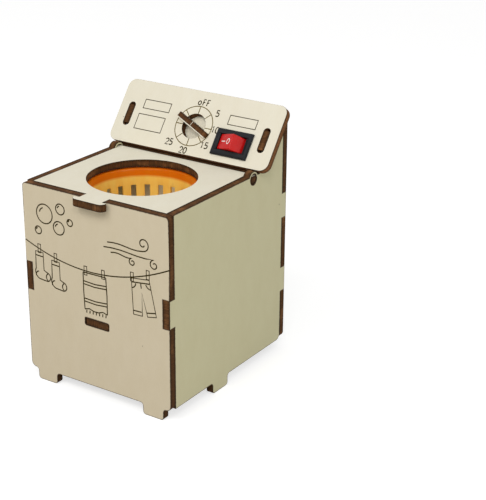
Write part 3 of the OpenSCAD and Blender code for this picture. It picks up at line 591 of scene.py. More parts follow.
def sheet_frame(piece):
    """Middle, x direction, turn and half thickness of a sheet; the turn lays z across it."""
    normal = broad_normal(piece)
    guide = UP if abs(normal.z) < 0.9 else Vector((0, 1, 0))
    x_axis = guide.cross(normal).normalized()
    turn = Matrix((x_axis, normal.cross(x_axis), normal)).transposed().to_euler()
    heights = [corner.co.dot(normal) for corner in piece.data.vertices]
    low, high = min(heights), max(heights)
    return normal * (high + low) / 2, x_axis, turn, (high - low) / 2


# How far one sheet's grain lies from the next one's
SHEET_SHIFT = 43 * MM


def ply_material(piece, color, ply, burn_color, veneer, dark_within):
    """Plywood whose grain and burnt edges follow this sheet; each sheet is cut from another place.

    burn_color is lighter on the control panel, painted light on its cut edges; within dark_within
    of the dial's axis the edges keep the common burn color, but for a last soft millimetre.
    """
    middle, x_axis, turn, half = sheet_frame(piece)
    shift = x_axis * len(bpy.data.materials) * SHEET_SHIFT
    material, tree, shader = new_material(piece.name + "_ply")
    rim = tree.nodes.new("ShaderNodeAttribute")
    rim.attribute_name = "scorch"
    burn = with_alpha(burn_color)
    if dark_within:
        away = tree.nodes.new("ShaderNodeVectorMath")
        away.operation = "LENGTH"
        put(tree, object_mapping(tree, DIAL_CENTRE), away.inputs[0])
        outside = share(tree, away.outputs["Value"], dark_within / MM - 1, dark_within / MM)
        burn = mixed(tree, outside, with_alpha(ply.burn_color), burn)
    outputs = place_group(tree, "laser_cut_ply", ply_group, {
        "Vector": object_mapping(tree, middle + shift, turn),
        "Half Thickness": half / MM,
        "Face Color": with_alpha(color),
        "Burn Color": burn,
        "Char Color": with_alpha(ply.char_color),
        "Scorch": rim.outputs["Fac"],
        "Bare Veneer": veneer / MM,
    })
    feed(tree, shader, outputs, 0.3)
    shader.inputs["Specular IOR Level"].default_value = 0.12
    return material


# Least cosine between a sheet's normal and that of a face that counts as broad
BROAD = 0.999


def scorch_rims(piece, width):
    """Inset a sheet's two faces and mark the outer end of each rim as scorched."""
    normal = broad_normal(piece)
    deselect_all(piece, faces=True)
    for face in piece.data.polygons:
        face.select = abs(face.normal.dot(normal)) > BROAD
    with edit_mode(piece):
        bpy.ops.mesh.inset(thickness=width, use_boundary=True, use_even_offset=True)
    kept = {corner for face in piece.data.polygons if face.select for corner in face.vertices}
    scorch = piece.data.attributes.new("scorch", "FLOAT", "POINT")
    for corner in piece.data.vertices:
        scorch.data[corner.index].value = corner.index not in kept


def cut_grooves(piece, strokes, to_world, width, material):
    """Cut half-round grooves along flat strokes that to_world lays on the piece's face."""
    path = bpy.data.curves.new("groove_tool", "CURVE")
    path.dimensions = "3D"
    path.bevel_depth = width / 2
    path.bevel_resolution = 1
    path.use_fill_caps = True
    path.materials.append(material)
    for stroke in strokes:
        closed = stroke[0] == stroke[-1]
        points = stroke[:-1] if closed else stroke
        spline = path.splines.new("POLY")
        spline.points.add(len(points) - 1)
        for spot, point in zip(spline.points, points):
            spot.co = (*to_world(*point), 1)
        spline.use_cyclic_u = closed
    tool = linked("groove_tool", path)
    only(tool)
    bpy.ops.object.convert(target="MESH")
    tool = bpy.context.object
    apply_modifier(
        piece, "BOOLEAN", object=tool, operation="DIFFERENCE", solver="EXACT", use_self=True,
        material_mode="TRANSFER",
    )
    bpy.data.objects.remove(tool)


def clear_doubled_faces(piece):
    """Delete each pair of faces that share all their corners, which the grooves' cut can leave."""
    found = {}
    for face in piece.data.polygons:
        found.setdefault(frozenset(face.vertices), []).append(face.index)
    deselect_all(piece, faces=True)
    for same in found.values():
        for index in same:
            piece.data.polygons[index].select = len(same) > 1
    with edit_mode(piece):
        bpy.ops.mesh.delete(type="ONLY_FACE")
        bpy.ops.mesh.select_all(action="SELECT")
        bpy.ops.mesh.delete_loose(use_faces=False)


def ply_piece(
    node, color, ply, grooves=(), scorched=False, burn_color=None, veneer=0.0, dark_within=0.0
):
    """A plywood sheet: rubbed corners, scorched rims, engraved grooves and its own grain."""
    piece = merged_copy(node, node + "_sheet")
    made = ply_material(piece, color, ply, burn_color or ply.burn_color, veneer, dark_within)
    piece.data.materials.append(made)
    if scorched:
        scorch_rims(piece, ply.scorch_w)
    round_edges(piece, ply.edge_round, segments=1)
    for strokes, to_world, width, material in grooves:
        cut_grooves(piece, strokes, to_world, width, material)
    clear_doubled_faces(piece)
    smooth(piece, 30)
    settle(piece, None, nodes=[node])


# ---- Strokes, in millimetres on a face ----


def arc(x, y, r, start, end, r_y=None, steps=None):
    """An arc from one angle to another, in degrees; r_y makes it an ellipse's."""
    r_y = r if r_y is None else r_y
    steps = steps or max(6, round(abs(end - start) / 12))
    turns = [math.radians(start + (end - start) * i / steps) for i in range(steps + 1)]
    return [(x + r * math.cos(turn), y + r_y * math.sin(turn)) for turn in turns]


def ring(x, y, r, steps, r_y=None):
    points = arc(x, y, r, 0, 360, r_y, steps)
    return points[:-1] + points[:1]


def box_stroke(left, low, right, high):
    return [(left, low), (right, low), (right, high), (left, high), (left, low)]


def moved(strokes, x, y, scale=1.0):
    return [[(x + scale * u, y + scale * v) for u, v in stroke] for stroke in strokes]


def hanging(strokes, x, drop, turn):
    """Strokes drawn round (0, 0), turned in degrees and hung just under the washing line."""
    y = line_height(x) - drop
    c, s = math.cos(math.radians(turn)), math.sin(math.radians(turn))
    return [[(x + u * c - v * s, y + u * s + v * c) for u, v in stroke] for stroke in strokes]


# The washing line's lowest point and how fast it rises from there
LINE_LOW_X, LINE_LOW, LINE_RISE = -3, 47.6, 0.0074

# Where things hang on the line, and how far the pegs stand from the middle of the wide ones
SOCKS = (-24.6, -17.4)
TOWEL, TOWEL_PEGS = -0.4, 3.8
TROUSERS, TROUSER_PEGS = 19.0, 3.3

# Middle and radius of each bubble; end, length and curl of each line of wind
BUBBLES = (
    (-21.5, 64.5, 3.5), (-14.4, 67.6, 1.9), (-15.3, 60.6, 2.4),
    (-24.6, 58.0, 1.4), (-10.3, 63.6, 1.2),
)
WIND = ((20.6, 60.4, 15, 2.5), (25.0, 58.4, 21, -1.9), (16.0, 57.0, 9, -1.5))


def line_height(x):
    """Height of the washing line over the ground."""
    return LINE_LOW + LINE_RISE * (x - LINE_LOW_X) ** 2


def washing_line():
    """The line from 1 mm outside the front panel's one edge to 1 mm outside the other."""
    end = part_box("front_panel")[1].x / MM + 1
    steps = 36
    xs = [-end + 2 * end * i / steps for i in range(steps + 1)]
    return [(x, line_height(x)) for x in xs]


def peg(x):
    y = line_height(x)
    return box_stroke(x - 0.6, y - 1.5, x + 0.6, y + 1.7)


def sock():
    """A short sock that hangs from its cuff, its toe to the right."""
    outline = [(-1.8, 0), (-1.7, -6.4), *arc(0.5, -7.7, 2.5, 152, 262), (3.3, -10.3),
               *arc(3.2, -8.7, 1.6, -80, 80), (1.9, -6.5), (1.6, 0), (-1.8, 0)]
    heel, toe = arc(-0.2, -8.9, 1.5, 100, 200), arc(4.4, -8.7, 1.5, 120, 240)
    return [outline, [(-1.8, -1.5), (1.6, -1.5)], heel, toe]


def towel():
    """A towel with two stripes and a fringe."""
    wide, low = 4.9, -13.6
    hem = [(x * wide, low - 0.4 * math.cos(5 * x)) for x in (-1, -0.6, -0.2, 0.2, 0.6, 1)]
    left = [(-wide, 0), (-wide - 0.15, low / 2), hem[0]]
    right = [(wide, 0), (wide + 0.2, low / 2), hem[-1]]
    stripes = [[(-wide, y), (0, y - 0.35), (wide, y)] for y in (-3.2, -4.3, -9.6, -10.7)]
    threads = (-4.1, -2.7, -1.3, 0.1, 1.5, 2.9, 4.3)
    fringe = [[(x, low - 0.3), (x - 0.1, low - 1.4)] for x in threads]
    return [[(-wide, 0), (wide, 0)], hem, left, right] + stripes + fringe


def trousers():
    """Short-legged trousers with a waistband, pockets and turn-ups."""
    outline = [(-3.6, 0), (-4.6, -13), (-0.9, -13.3), (0.1, -4.9),
               (1.3, -13.3), (5.0, -13), (3.8, 0), (-3.6, 0)]
    turn_ups = [[(-4.5, -11.6), (-1.05, -11.9)], [(1.1, -11.9), (4.9, -11.6)]]
    pockets = [arc(-3.9, -1.5, 1.9, -88, -8), arc(4.1, -1.5, 1.9, 188, 268)]
    return [outline, [(-3.7, -1.4), (3.9, -1.4)], *turn_ups, *pockets, [(0.1, -1.5), (0.1, -3.4)]]


def bubbles():
    strokes = []
    for x, y, r in BUBBLES:
        strokes += [ring(x, y, r, 28), arc(x, y, r * 0.62, 105, 170, steps=6)]
    return strokes


def curl(r):
    """The end of a wind line, wound in on itself."""
    points = []
    for degrees in range(0, 421, 20):
        turn = math.radians(degrees)
        reach = r * (1 - degrees / 560)
        points.append((reach * math.sin(turn), r - reach * math.cos(turn)))
    return points


def wind():
    """Three lines of wind that end in curls."""
    strokes = []
    for x, y, length, r in WIND:
        straight = [(x - length + length * i / 6, y + 0.35 * math.sin(i)) for i in range(6)]
        strokes.append(straight + moved([curl(r)], x, y)[0])
    return strokes


def front_drawing():
    """Bubbles and wind over a line with socks, a towel and trousers."""
    strokes = bubbles() + wind() + [washing_line()]
    pegs = [*SOCKS]
    for middle, reach in ((TOWEL, TOWEL_PEGS), (TROUSERS, TROUSER_PEGS)):
        pegs += [middle - reach, middle + reach]
    strokes += [peg(x) for x in pegs]
    for x in SOCKS:
        strokes += hanging(sock(), x, 1.2, -2)
    return strokes + hanging(towel(), TOWEL, 0.6, 1) + hanging(trousers(), TROUSERS, 0.9, 7)


# The strokes of each figure, one unit high, with its width and the step to the next one
GLYPHS = {
    "0": [ring(0.3, 0.5, 0.27, 20, 0.5)],
    "1": [[(0.1, 0.8), (0.32, 1), (0.32, 0)]],
    "2": [[*arc(0.29, 0.71, 0.27, 170, -25), (0.02, 0), (0.58, 0)]],
    "5": [[(0.54, 1), (0.12, 1), (0.07, 0.56), *arc(0.27, 0.31, 0.3, 118, -140)]],
    "o": [ring(0.3, 0.33, 0.26, 18, 0.33)],
    "f": [[(0.62, 1), (0.22, 1), (0.18, 0)], [(0.2, 0.53), (0.52, 0.53)]],
}
GLYPH_W, GLYPH_PITCH = 0.6, 0.74


def label(text, x, y, height):
    """A label in single strokes, centred on a point."""
    width = (len(text) - 1) * GLYPH_PITCH + GLYPH_W
    strokes = []
    for i, letter in enumerate(text):
        left = x + (i * GLYPH_PITCH - width / 2) * height
        strokes += moved(GLYPHS[letter], left, y - height / 2, height)
    return strokes


# ---- Faces that carry strokes ----


def on_front(x, z):
    return Vector((x * MM, FRONT_Y, z * MM))


def on_panel(x, s):
    return PANEL_ORIGIN + ACROSS * x * MM + UP_SLOPE * s * MM


def on_dial(x, s):
    return DIAL_CENTRE + ACROSS * x * MM + UP_SLOPE * s * MM


def height_over(piece, place):
    """How far a piece rises out of the control panel's face over a place."""
    return max((corner.co - place).dot(SLOPE_NORMAL) for corner in piece.data.vertices)


def on_knob(across, along):
    """A point on top of the knob bar, in millimetres across and along it from its middle."""
    bar = frame["nodes"]["knob_bar"]
    side = broad_normal(bar)
    top = DIAL_CENTRE + SLOPE_NORMAL * height_over(bar, DIAL_CENTRE)
    return top + (side * across + side.cross(SLOPE_NORMAL) * along) * MM


def panel_boxes():
    """Three empty label boxes: two at the left and one over the switch."""
    return [box_stroke(-24.6, 14.2, -12.9, 17.7), box_stroke(-25.3, 5.95, -13.3, 11.8),
            box_stroke(13.0, 14.3, 24.7, 17.85)]


def dial_ring(engraving):
    outer = engraving.ring_r / MM
    inner = outer - engraving.tick_l / MM
    turns = [math.radians(turn) for turn in range(0, 360, 45)]
    ticks = [[(r * math.cos(turn), r * math.sin(turn)) for r in (inner, outer)] for turn in turns]
    return [ring(0, 0, outer, 72)] + ticks


# Each figure round the dial, with its middle across and up the panel from the dial's axis
DIAL_LABELS = (
    ("off", 0.7, 9.4), ("5", 7.95, 6.3), ("10", 9.35, 0.15),
    ("15", 7.2, -6.3), ("20", -0.75, -9.6), ("25", -7.75, -7.5),
)


def dial_labels(engraving):
    strokes = []
    for text, x, s in DIAL_LABELS:
        strokes += label(text, x, s, engraving.label_h / MM)
    return strokes


# ---- Operators: the case ----


def line_material(engraving):
    return fine_material("engraved_line", engraving.line_color, 0.85, specular=0.1)


class WASHER_OT_case(Operator):
    """Build the five plain plywood sheets of the case"""

    bl_idname = "toy_washer.case"
    bl_label = "Case"

    def execute(self, context):
        ply = context.scene.washer_ply
        # The sides' face colour is painted darker as shade; the inner sheets' is painted lighter as
        # light.
        for node in ("left_side_panel", "right_side_panel"):
            ply_piece(node, ply.side_painted_shade_color, ply, scorched=True)
        for node in ("back_panel", "partition_panel", "motor_shelf"):
            ply_piece(node, ply.inner_painted_light_color, ply, scorched=True)
        return {"FINISHED"}


class WASHER_OT_front(Operator):
    """Build the front panel with its engraved drawing"""

    bl_idname = "toy_washer.front"
    bl_label = "Front panel"

    def execute(self, context):
        ply = context.scene.washer_ply
        engraving = context.scene.washer_engraving
        drawing = (front_drawing(), on_front, engraving.drawing_line, line_material(engraving))
        # The front's face colour is painted darker as shade.
        ply_piece("front_panel", ply.front_painted_shade_color, ply, [drawing], scorched=True)
        return {"FINISHED"}


class WASHER_OT_control_panel(Operator):
    """Build the control panel with its engraved boxes, ring and figures"""

    bl_idname = "toy_washer.control_panel"
    bl_label = "Control panel"

    def execute(self, context):
        ply = context.scene.washer_ply
        engraving = context.scene.washer_engraving
        line = line_material(engraving)
        pale = fine_material("shallow_line", engraving.ring_color, 0.8, specular=0.1)
        # The panel takes the lid's face colour, painted lighter as light, and on its cut edges a
        # lighter burn colour painted as light on the under-edge's shade, except round the dial's
        # hole.
        ply_piece("control_panel", ply.lid_painted_light_color, ply, [
            (panel_boxes(), on_panel, engraving.label_line, line),
            (dial_ring(engraving), on_dial, engraving.panel_line, pale),
            (dial_labels(engraving), on_dial, engraving.label_line, line),
        ], burn_color=ply.painted_light_burn_color, dark_within=engraving.ring_r)
        return {"FINISHED"}


class WASHER_OT_lid(Operator):
    """Build the lid"""

    bl_idname = "toy_washer.lid"
    bl_label = "Lid"

    def execute(self, context):
        ply = context.scene.washer_ply
        # The lid's face colour is painted lighter as light from above.
        ply_piece("lid", ply.lid_painted_light_color, ply)
        return {"FINISHED"}


class WASHER_OT_dial(Operator):
    """Build the dial's disc and its knob bar"""

    bl_idname = "toy_washer.dial"
    bl_label = "Dial"

    def execute(self, context):
        ply = context.scene.washer_ply
        engraving = context.scene.washer_engraving
        # The disc, the knob and its nick take the lid's face colour, painted lighter as light from
        # above.
        ply_piece("dial_disc", ply.lid_painted_light_color, ply)
        bare = fine_material("bare_nick", ply.lid_painted_light_color, 0.7)
        reach = engraving.nick_l / 2 / MM
        nick = ([[(-reach, 0), (reach, 0)]], on_knob, engraving.nick_line, bare)
        ply_piece("knob_bar", ply.lid_painted_light_color, ply, [nick], veneer=ply.veneer_t)
        return {"FINISHED"}


# ---- Operators: the switch ----

# How the OFF mark's ring is scaled across, along and out of its facet
OFF_MARK_SHAPE = (0.8, 1, 0.3, 1)


def lug_brass(inside):
    return metal("lug_brass", inside.brass_color, 0.3)


def left_facet(rocker):
    """Middle and normal of the rocker's facet that looks to the left."""
    facets = [face for face in rocker.data.polygons
              if face.normal.dot(SLOPE_NORMAL) > 0.3 and face.normal.dot(ACROSS) < -0.1]
    facet = max(facets, key=lambda face: face.area)
    return facet.center.copy(), facet.normal.copy()


class WASHER_OT_switch(Operator):
    """Build the rocker switch: body, rocker, printed marks and blades"""

    bl_idname = "toy_washer.switch"
    bl_label = "Switch"

    def execute(self, context):
        sizes = context.scene.washer_switch
        inside = context.scene.washer_inside
        body = merged_copy("switch_housing", "switch_body")
        for side in (-1, 1):
            self.lip(sizes, body, side)
        round_edges(body, sizes.body_round)
        smooth(body)
        black = fine_material(
            "bezel_plastic", sizes.bezel_color, 0.5, worn=1.6, relief=0.15, specular=0.12
        )
        settle(body, black, nodes=["switch_housing"])

        rocker = merged_copy("switch_rocker", "rocker_key")
        middle, normal = left_facet(rocker)
        round_edges(rocker, sizes.rocker_round, segments=4, angle=20)
        smooth(rocker, 50)
        red = fine_material(
            "rocker_plastic", sizes.rocker_color, 0.26, worn=0.9, relief=0.08, specular=0.2
        )
        settle(rocker, red, nodes=["switch_rocker"])

        along = UP_SLOPE.cross(normal)
        white = fine_material("mark_print", sizes.mark_color, 0.5, worn=0.95)
        self.dash(sizes, frame_matrix(middle - along * sizes.dash_in, along, normal), white)
        self.ring(sizes, frame_matrix(middle + along * sizes.ring_in, along, normal), white)
        brass = lug_brass(inside)
        rounded_part("switch_terminals", "switch_blades", brass, sizes.blade_round)
        return {"FINISHED"}

    def lip(self, sizes, body, side):
        """Add the sloping lip at one end of the window, which hides the gap past the rocker."""
        pivot = Vector(JOINTS["switch_rock"]["pos_m"])
        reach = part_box("switch_rocker")[1].x - pivot.x + (sizes.lip_hidden - sizes.lip_w) / 2
        rise = height_over(body, pivot) - sizes.lip_sunk - sizes.lip_t / 2
        middle = pivot + ACROSS * side * reach + SLOPE_NORMAL * rise
        bpy.ops.mesh.primitive_cube_add(size=1)
        lip = bpy.context.object
        lip_size = (sizes.lip_w + sizes.lip_hidden, sizes.lip_l, sizes.lip_t, 1)
        lip.matrix_world = frame_matrix(middle, ACROSS, SLOPE_NORMAL) @ Matrix.Diagonal(lip_size)
        apply_place(lip)
        deselect_all(lip, faces=False)
        for corner in lip.data.vertices:
            away = corner.co - middle
            corner.select = away.dot(SLOPE_NORMAL) > 0 and away.x * side < 0
        with edit_mode(lip):
            bpy.ops.transform.translate(value=-SLOPE_NORMAL * sizes.lip_drop)
        apply_modifier(body, "BOOLEAN", object=lip, operation="UNION", solver="EXACT")
        bpy.data.objects.remove(lip)

    def dash(self, sizes, place, white):
        bpy.ops.mesh.primitive_cube_add(size=1)
        dash = bpy.context.object
        dash.name = "mark_on"
        dash_size = (sizes.dash_l, sizes.mark_line, sizes.mark_t, 1)
        dash.matrix_world = place @ Matrix.Diagonal(dash_size)
        apply_place(dash)
        round_edges(dash, 0.4 * sizes.mark_t)
        smooth(dash)
        settle(dash, white, body="rocker")

    def ring(self, sizes, place, white):
        stroke_r = sizes.mark_line / 2
        bpy.ops.mesh.primitive_torus_add(
            major_segments=40, minor_segments=10,
            major_radius=sizes.ring_l / 2 - stroke_r, minor_radius=stroke_r,
        )
        mark = bpy.context.object
        mark.name = "mark_off"
        mark.matrix_world = place @ Matrix.Diagonal(OFF_MARK_SHAPE)
        apply_place(mark)
        smooth(mark)
        settle(mark, white, body="rocker")


# ---- Operators: the tub ----

# What streaks in the plastic multiply its color by, and over how many millimetres the rim's begins
FLOW_TINT = (1.0, 0.80, 0.50, 1)
RIM_BLUR = 1.1


def clear_plastic(tub):
    """Clear orange plastic, deeper in color where the rim is thick."""
    material, tree, shader = new_material("clear_orange_plastic")
    place = object_mapping(tree)
    rim_low = (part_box("tub")[1].z - tub.rim_h) / MM
    thick = share(tree, z_part(tree, place), rim_low, rim_low + RIM_BLUR)
    streak = noise(tree, stretched(tree, place, 1, 1, 0.25), 0.3, 2.0, 0.5)
    color = mixed(tree, thick, with_alpha(tub.wall_color), with_alpha(tub.rim_color))
    color = mixed(tree, share(tree, streak, 0.38, 0.62, 0, 0.5), color, FLOW_TINT, "MULTIPLY")
    put(tree, color, shader.inputs["Base Color"])
    put(tree, share(tree, streak, 0, 1, 0.08, 0.2), shader.inputs["Roughness"])
    shader.inputs["Transmission Weight"].default_value = tub.clearness
    shader.inputs["IOR"].default_value = 1.49
    shader.inputs["Specular IOR Level"].default_value = 0.25
    rays = tree.nodes.new("ShaderNodeLightPath")
    shadow = share(tree, rays.outputs["Is Shadow Ray"], 0, 1, 1, 1 - tub.lamp_share)
    put(tree, shadow, shader.inputs["Alpha"])
    return material


class WASHER_OT_tub(Operator):
    """Build the clear tub and its hub"""

    bl_idname = "toy_washer.tub"
    bl_label = "Tub"

    def execute(self, context):
        tub = context.scene.washer_tub
        rounded_part("tub", "slotted_tub", clear_plastic(tub), tub.tub_round)
        nylon = fine_material("hub_plastic", tub.hub_color, 0.4)
        rounded_part("tub_hub", "hub_moulding", nylon, tub.hub_round, segments=3)
        return {"FINISHED"}


# ---- Operators: motor, cells and wires ----


class WASHER_OT_motor(Operator):
    """Build the motor, its rotor and its shaft"""

    bl_idname = "toy_washer.motor"
    bl_label = "Motor"

    def execute(self, context):
        inside = context.scene.washer_inside
        steel = metal("drawn_steel", inside.steel_color, 0.34, (1, 1, 12))
        ground = metal("ground_steel", inside.steel_color, 0.22, (6, 6, 1))
        brass = lug_brass(inside)
        cap = fine_material("cap_plastic", inside.cap_color, 0.45)
        ferrite = fine_material("ferrite", inside.magnet_color, 0.7)
        copper = metal("coil_copper", inside.copper_color, 0.35, (1, 1, 0.2))
        for node, name, material, slot, rounding in (
            ("motor_can", "motor_steel_can", steel, "steel", 0.3),
            ("motor_end_cap", "motor_cap", cap, "white_plastic", 0.2),
            ("motor_bush", "motor_bearing", brass, "brass", 0.08),
            ("motor_magnets", "motor_ferrites", ferrite, "magnet", 0.12),
            ("motor_brushes", "brush_leaves", brass, "brass", 0.05),
            ("motor_terminals", "motor_lugs", brass, "brass", 0.08),
            ("motor_shaft", "drive_shaft", ground, "steel", 0.12),
            ("rotor_core", "rotor_stack", steel, "steel", 0.06),
            ("rotor_windings", "rotor_coils", copper, "copper", 0.5),
            ("commutator", "commutator_ring", brass, "brass", 0.05),
        ):
            rounded_part(node, name, material, rounding * MM)
        return {"FINISHED"}


# Share of a cell's radius within which its ends are bare metal
BARE_END = 0.84

# How far past its closest point a lead still takes part in placing its solder
SOLDER_REACH = 0.5 * MM

# A solder drop's width and height as shares of a ball's, and the share that its ripples rise
DROP_W, DROP_H, DROP_RIPPLE = 0.85, 1.15, 0.1


def cell_outline(radius, length, nub_r, nub_l):
    """Half section of a cell from its flat end to its nub, as (radius, height)."""
    flat_end = [(0, 0), (0.62, 0), (0.68, 0.22), (0.86, 0.22),
                (0.93, 0.05), (0.985, 0.25), (1, 0.8)]
    crimp = [(1, -0.9), (0.985, -0.3), (0.93, 0), (0.86, -0.1), (0.66, -0.55)]
    end = length + nub_l
    return [
        *((radius * part, up * MM) for part, up in flat_end),
        *((radius * part, length + up * MM) for part, up in crimp),
        (nub_r * 1.15, length - 0.55 * MM), (nub_r, length - 0.3 * MM), (nub_r, end - 0.35 * MM),
        (nub_r - 0.3 * MM, end - 0.05 * MM), (0, end),
    ]


class WASHER_OT_battery_bay(Operator):
    """Build the cell holder, its pad, the two cells, springs and contact plates"""

    bl_idname = "toy_washer.battery_bay"
    bl_label = "Battery bay"

    def execute(self, context):
        inside = context.scene.washer_inside
        plastic = fine_material("holder_plastic", inside.holder_color, 0.5, worn=1.6, relief=0.4)
        foam = fine_material("foam", inside.foam_color, 0.95, relief=1.0)
        nickel = metal("nickel_plate", inside.steel_color, 0.25)
        rounded_part("battery_holder", "cell_tray", plastic, 0.2 * MM)
        rounded_part("holder_pad", "foam_pad", foam, 0.15 * MM)
        rounded_part("contact_plates", "plate_contacts", nickel, 0.05 * MM)
        self.springs(nickel)
        for side in ("left", "right"):
            self.cell(side, inside, nickel)
        return {"FINISHED"}

    def springs(self, nickel):
        springs = merged_copy("contact_springs", "coil_springs", flat=False)
        apply_modifier(springs, "SUBSURF", levels=2, render_levels=2)
        smooth(springs, 60)
        settle(springs, nickel, nodes=["contact_springs"])

    def cell(self, side, inside, nickel):
        node = "cell_" + side
        low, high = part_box(node)
        middle = (low + high) / 2
        radius = (high.x - low.x) / 2
        barrel = [corner.co.z for corner in frame["nodes"][node].data.vertices
                  if math.hypot(corner.co.x - middle.x, corner.co.y - middle.y) > 0.9 * radius]
        bottom, top = min(barrel), max(barrel)
        nub_up = high.z - top > bottom - low.z
        nub_l = high.z - top if nub_up else bottom - low.z
        outline = cell_outline(radius, top - bottom, inside.nub_r, nub_l)
        if not nub_up:
            outline = [(r, top - bottom - height) for r, height in outline]
        cell = spun(side + "_cell", outline, Vector((middle.x, middle.y, bottom)))
        smooth(cell, 40)
        film = fine_material("cell_film", inside.sleeve_color, 0.3, worn=0.9, relief=0.05)
        cell.data.materials.append(film)
        cell.data.materials.append(nickel)
        for face in cell.data.polygons:
            reach = math.hypot(face.center.x - middle.x, face.center.y - middle.y)
            face.material_index = 1 if reach < BARE_END * radius else 0
        settle(cell, None, nodes=[node])


class WASHER_OT_wires(Operator):
    """Build the three wires and the solder that holds their ends"""

    bl_idname = "toy_washer.wires"
    bl_label = "Wires"

    def execute(self, context):
        inside = context.scene.washer_inside
        red = fine_material("red_insulation", inside.red_color, 0.4)
        black = fine_material("black_insulation", inside.black_color, 0.4)
        tin = metal("solder", inside.solder_color, 0.28)
        plates, blades, lugs = "contact_plates", "switch_terminals", "motor_terminals"
        for node, material, slot, ends in (
            ("wire_cell_to_switch", red, "red_insulation", (plates, blades)),
            ("wire_switch_to_motor", red, "red_insulation", (blades, lugs)),
            ("wire_motor_to_cell", black, "black_insulation", (lugs, plates)),
        ):
            lead = merged_copy(node, node.replace("wire", "lead"), flat=False)
            for end in ends:
                self.solder(lead, end, inside.solder_r, tin)
            apply_modifier(lead, "SUBSURF", levels=2, render_levels=2)
            smooth(lead, 60)
            settle(lead, material, nodes=[node])
        return {"FINISHED"}

    def solder(self, lead, lug, radius, tin):
        """A slightly rippled drop of solder where a lead comes closest to its lug."""
        mesh = frame["nodes"][lug].data
        corners = [corner.co for corner in mesh.vertices]
        surface = BVHTree.FromPolygons(corners, [face.vertices for face in mesh.polygons])
        found = []
        for corner in lead.data.vertices:
            place, _normal, _index, distance = surface.find_nearest(corner.co)
            found.append((distance, corner.co, place))
        limit = min(distance for distance, _corner, _place in found) + SOLDER_REACH
        close = [(corner + place) / 2 for distance, corner, place in found if distance < limit]
        middle = sum(close, Vector()) / len(close)
        bpy.ops.mesh.primitive_ico_sphere_add(subdivisions=3, radius=radius)
        drop = bpy.context.object
        drop.name = "solder_" + lead.name.removeprefix("lead_") + "_" + lug.split("_")[0]
        for corner in drop.data.vertices:
            x, y, z = corner.co
            ripple = 1 + DROP_RIPPLE * math.sin(5 * x / MM + 1) * math.cos(4.2 * y / MM)
            corner.co = Vector((DROP_W * x, DROP_W * y, DROP_H * z)) * ripple
        drop.location = middle
        apply_place(drop)
        smooth(drop, 60)
        settle(drop, tin, body="case")


# ---- Operator: the stage ----

# Each lamp with its place, its width, the setting that holds its power, and its color
LAMPS = (
    ("key_light", (-0.14, -0.54, 0.62), 0.42, "key_power", (1.0, 0.985, 0.95)),
    ("front_light", (0.29, -0.40, 0.54), 0.25, "front_power", (1.0, 0.99, 0.95)),
    ("fill_light", (0.62, -0.10, 0.34), 0.5, "fill_power", (0.96, 1.0, 0.95)),
)
LAMP_AIM = Vector((0, 0, 0.045))


def looked_at(tree):
    """1 where the camera, a reflection or a clear piece looks; 0 where light falls on the toy."""
    rays = tree.nodes.new("ShaderNodeLightPath")
    seen = maths(tree, "MAXIMUM", rays.outputs["Is Camera Ray"], rays.outputs["Is Glossy Ray"])
    return maths(tree, "MAXIMUM", seen, rays.outputs["Is Transmission Ray"])


def with_glow(tree, shade, strength):
    """Add a white glow that only the camera, reflections and clear pieces see."""
    glow = tree.nodes.new("ShaderNodeEmission")
    put(tree, maths(tree, "MULTIPLY", looked_at(tree), strength), glow.inputs["Strength"])
    both = tree.nodes.new("ShaderNodeAddShader")
    put(tree, shade, both.inputs[0])
    put(tree, glow.outputs[0], both.inputs[1])
    return both.outputs[0]


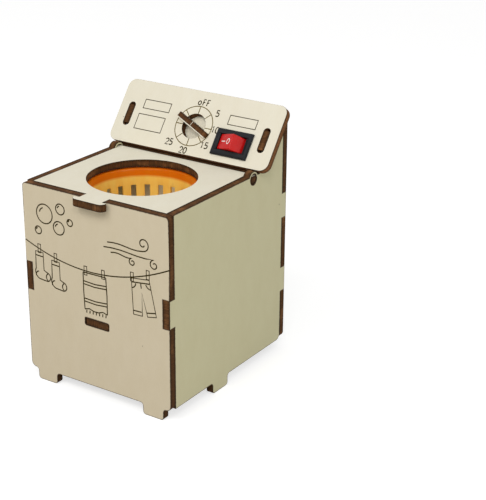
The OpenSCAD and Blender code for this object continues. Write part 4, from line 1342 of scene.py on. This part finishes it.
class WASHER_OT_stage(Operator):
    """Build the pale floor, the soft lights, the sky and the camera"""

    bl_idname = "toy_washer.stage"
    bl_label = "Stage"

    def execute(self, context):
        stage = context.scene.washer_stage
        context.scene.view_settings.view_transform = "Standard"
        self.floor(stage)
        self.sky(context.scene, stage)
        for name, place, width, power, color in LAMPS:
            self.lamp(name, place, width, getattr(stage, power), color)
        self.camera(context.scene, stage)
        return {"FINISHED"}

    def floor(self, stage):
        bpy.ops.mesh.primitive_plane_add(size=2 * stage.floor_half)
        floor = bpy.context.object
        floor.name = "floor"
        material, tree, shader = new_material("pale_floor")
        shader.inputs["Base Color"].default_value = with_alpha(stage.floor_color)
        shader.inputs["Roughness"].default_value = 0.9
        shader.inputs["Specular IOR Level"].default_value = 0.1
        end = tree.nodes["Material Output"]
        put(tree, with_glow(tree, shader.outputs[0], stage.floor_glow), end.inputs["Surface"])
        floor.data.materials.append(material)

    def sky(self, scene, stage):
        world = bpy.data.worlds.new("soft_sky")
        world.use_nodes = True
        tree = world.node_tree
        back = tree.nodes["Background"]
        back.inputs["Color"].default_value = (1, 1, 1, 1)
        strength = share(tree, looked_at(tree), 0, 1, stage.sky_strength, 1)
        put(tree, strength, back.inputs["Strength"])
        scene.world = world

    def lamp(self, name, place, width, power, color):
        lamp = bpy.data.lights.new(name, "AREA")
        lamp.shape = "DISK"
        lamp.size = width
        lamp.energy = power
        lamp.color = color
        holder = linked(name, lamp)
        holder.location = place
        holder.rotation_euler = (LAMP_AIM - holder.location).to_track_quat("-Z", "Y").to_euler()

    def camera(self, scene, stage):
        turn, lift = stage.camera_azimuth, stage.camera_elevation
        flat = math.cos(lift)
        back = Vector((math.sin(turn) * flat, -math.cos(turn) * flat, math.sin(lift)))
        right = Vector((math.cos(turn), math.sin(turn), 0))
        level = Matrix((right, back.cross(right), back)).transposed().to_4x4()
        camera = bpy.data.cameras.new("camera")
        camera.lens = stage.camera_lens
        camera.sensor_width = 36
        camera.clip_start = 0.01
        holder = linked("camera", camera)
        place = Matrix.Translation(stage.camera_place)
        holder.matrix_world = place @ level @ Matrix.Rotation(stage.camera_roll, 4, "Z")
        scene.camera = holder


# ---- Panel and registration ----

OPERATORS = (
    WASHER_OT_stage, WASHER_OT_case, WASHER_OT_front, WASHER_OT_control_panel, WASHER_OT_lid,
    WASHER_OT_dial, WASHER_OT_switch, WASHER_OT_tub, WASHER_OT_motor, WASHER_OT_battery_bay,
    WASHER_OT_wires,
)


class WASHER_PT_sidebar(Panel):
    """Lists the steps that build the toy"""

    bl_idname = "WASHER_PT_sidebar"
    bl_label = "Toy washing machine"
    bl_space_type = "VIEW_3D"
    bl_region_type = "UI"
    bl_category = "Toy Washer"

    def draw(self, context):
        for operator in OPERATORS:
            self.layout.operator(operator.bl_idname)
        for name in SETTINGS:
            group = getattr(context.scene, name)
            column = self.layout.column()
            for setting in group.bl_rna.properties:
                if setting.identifier not in ("rna_type", "name"):
                    column.prop(group, setting.identifier)


def register():
    for group in SETTINGS.values():
        bpy.utils.register_class(group)
    for name, group in SETTINGS.items():
        setattr(bpy.types.Scene, name, PointerProperty(type=group))
    for shown in (*OPERATORS, WASHER_PT_sidebar):
        bpy.utils.register_class(shown)


def unregister():
    for shown in reversed((*OPERATORS, WASHER_PT_sidebar)):
        bpy.utils.unregister_class(shown)
    for name, group in SETTINGS.items():
        delattr(bpy.types.Scene, name)
        bpy.utils.unregister_class(group)


def main():
    register()
    for operator in OPERATORS:
        group, name = operator.bl_idname.split(".")
        getattr(getattr(bpy.ops, group), name)()


if __name__ == "__main__":
    main()
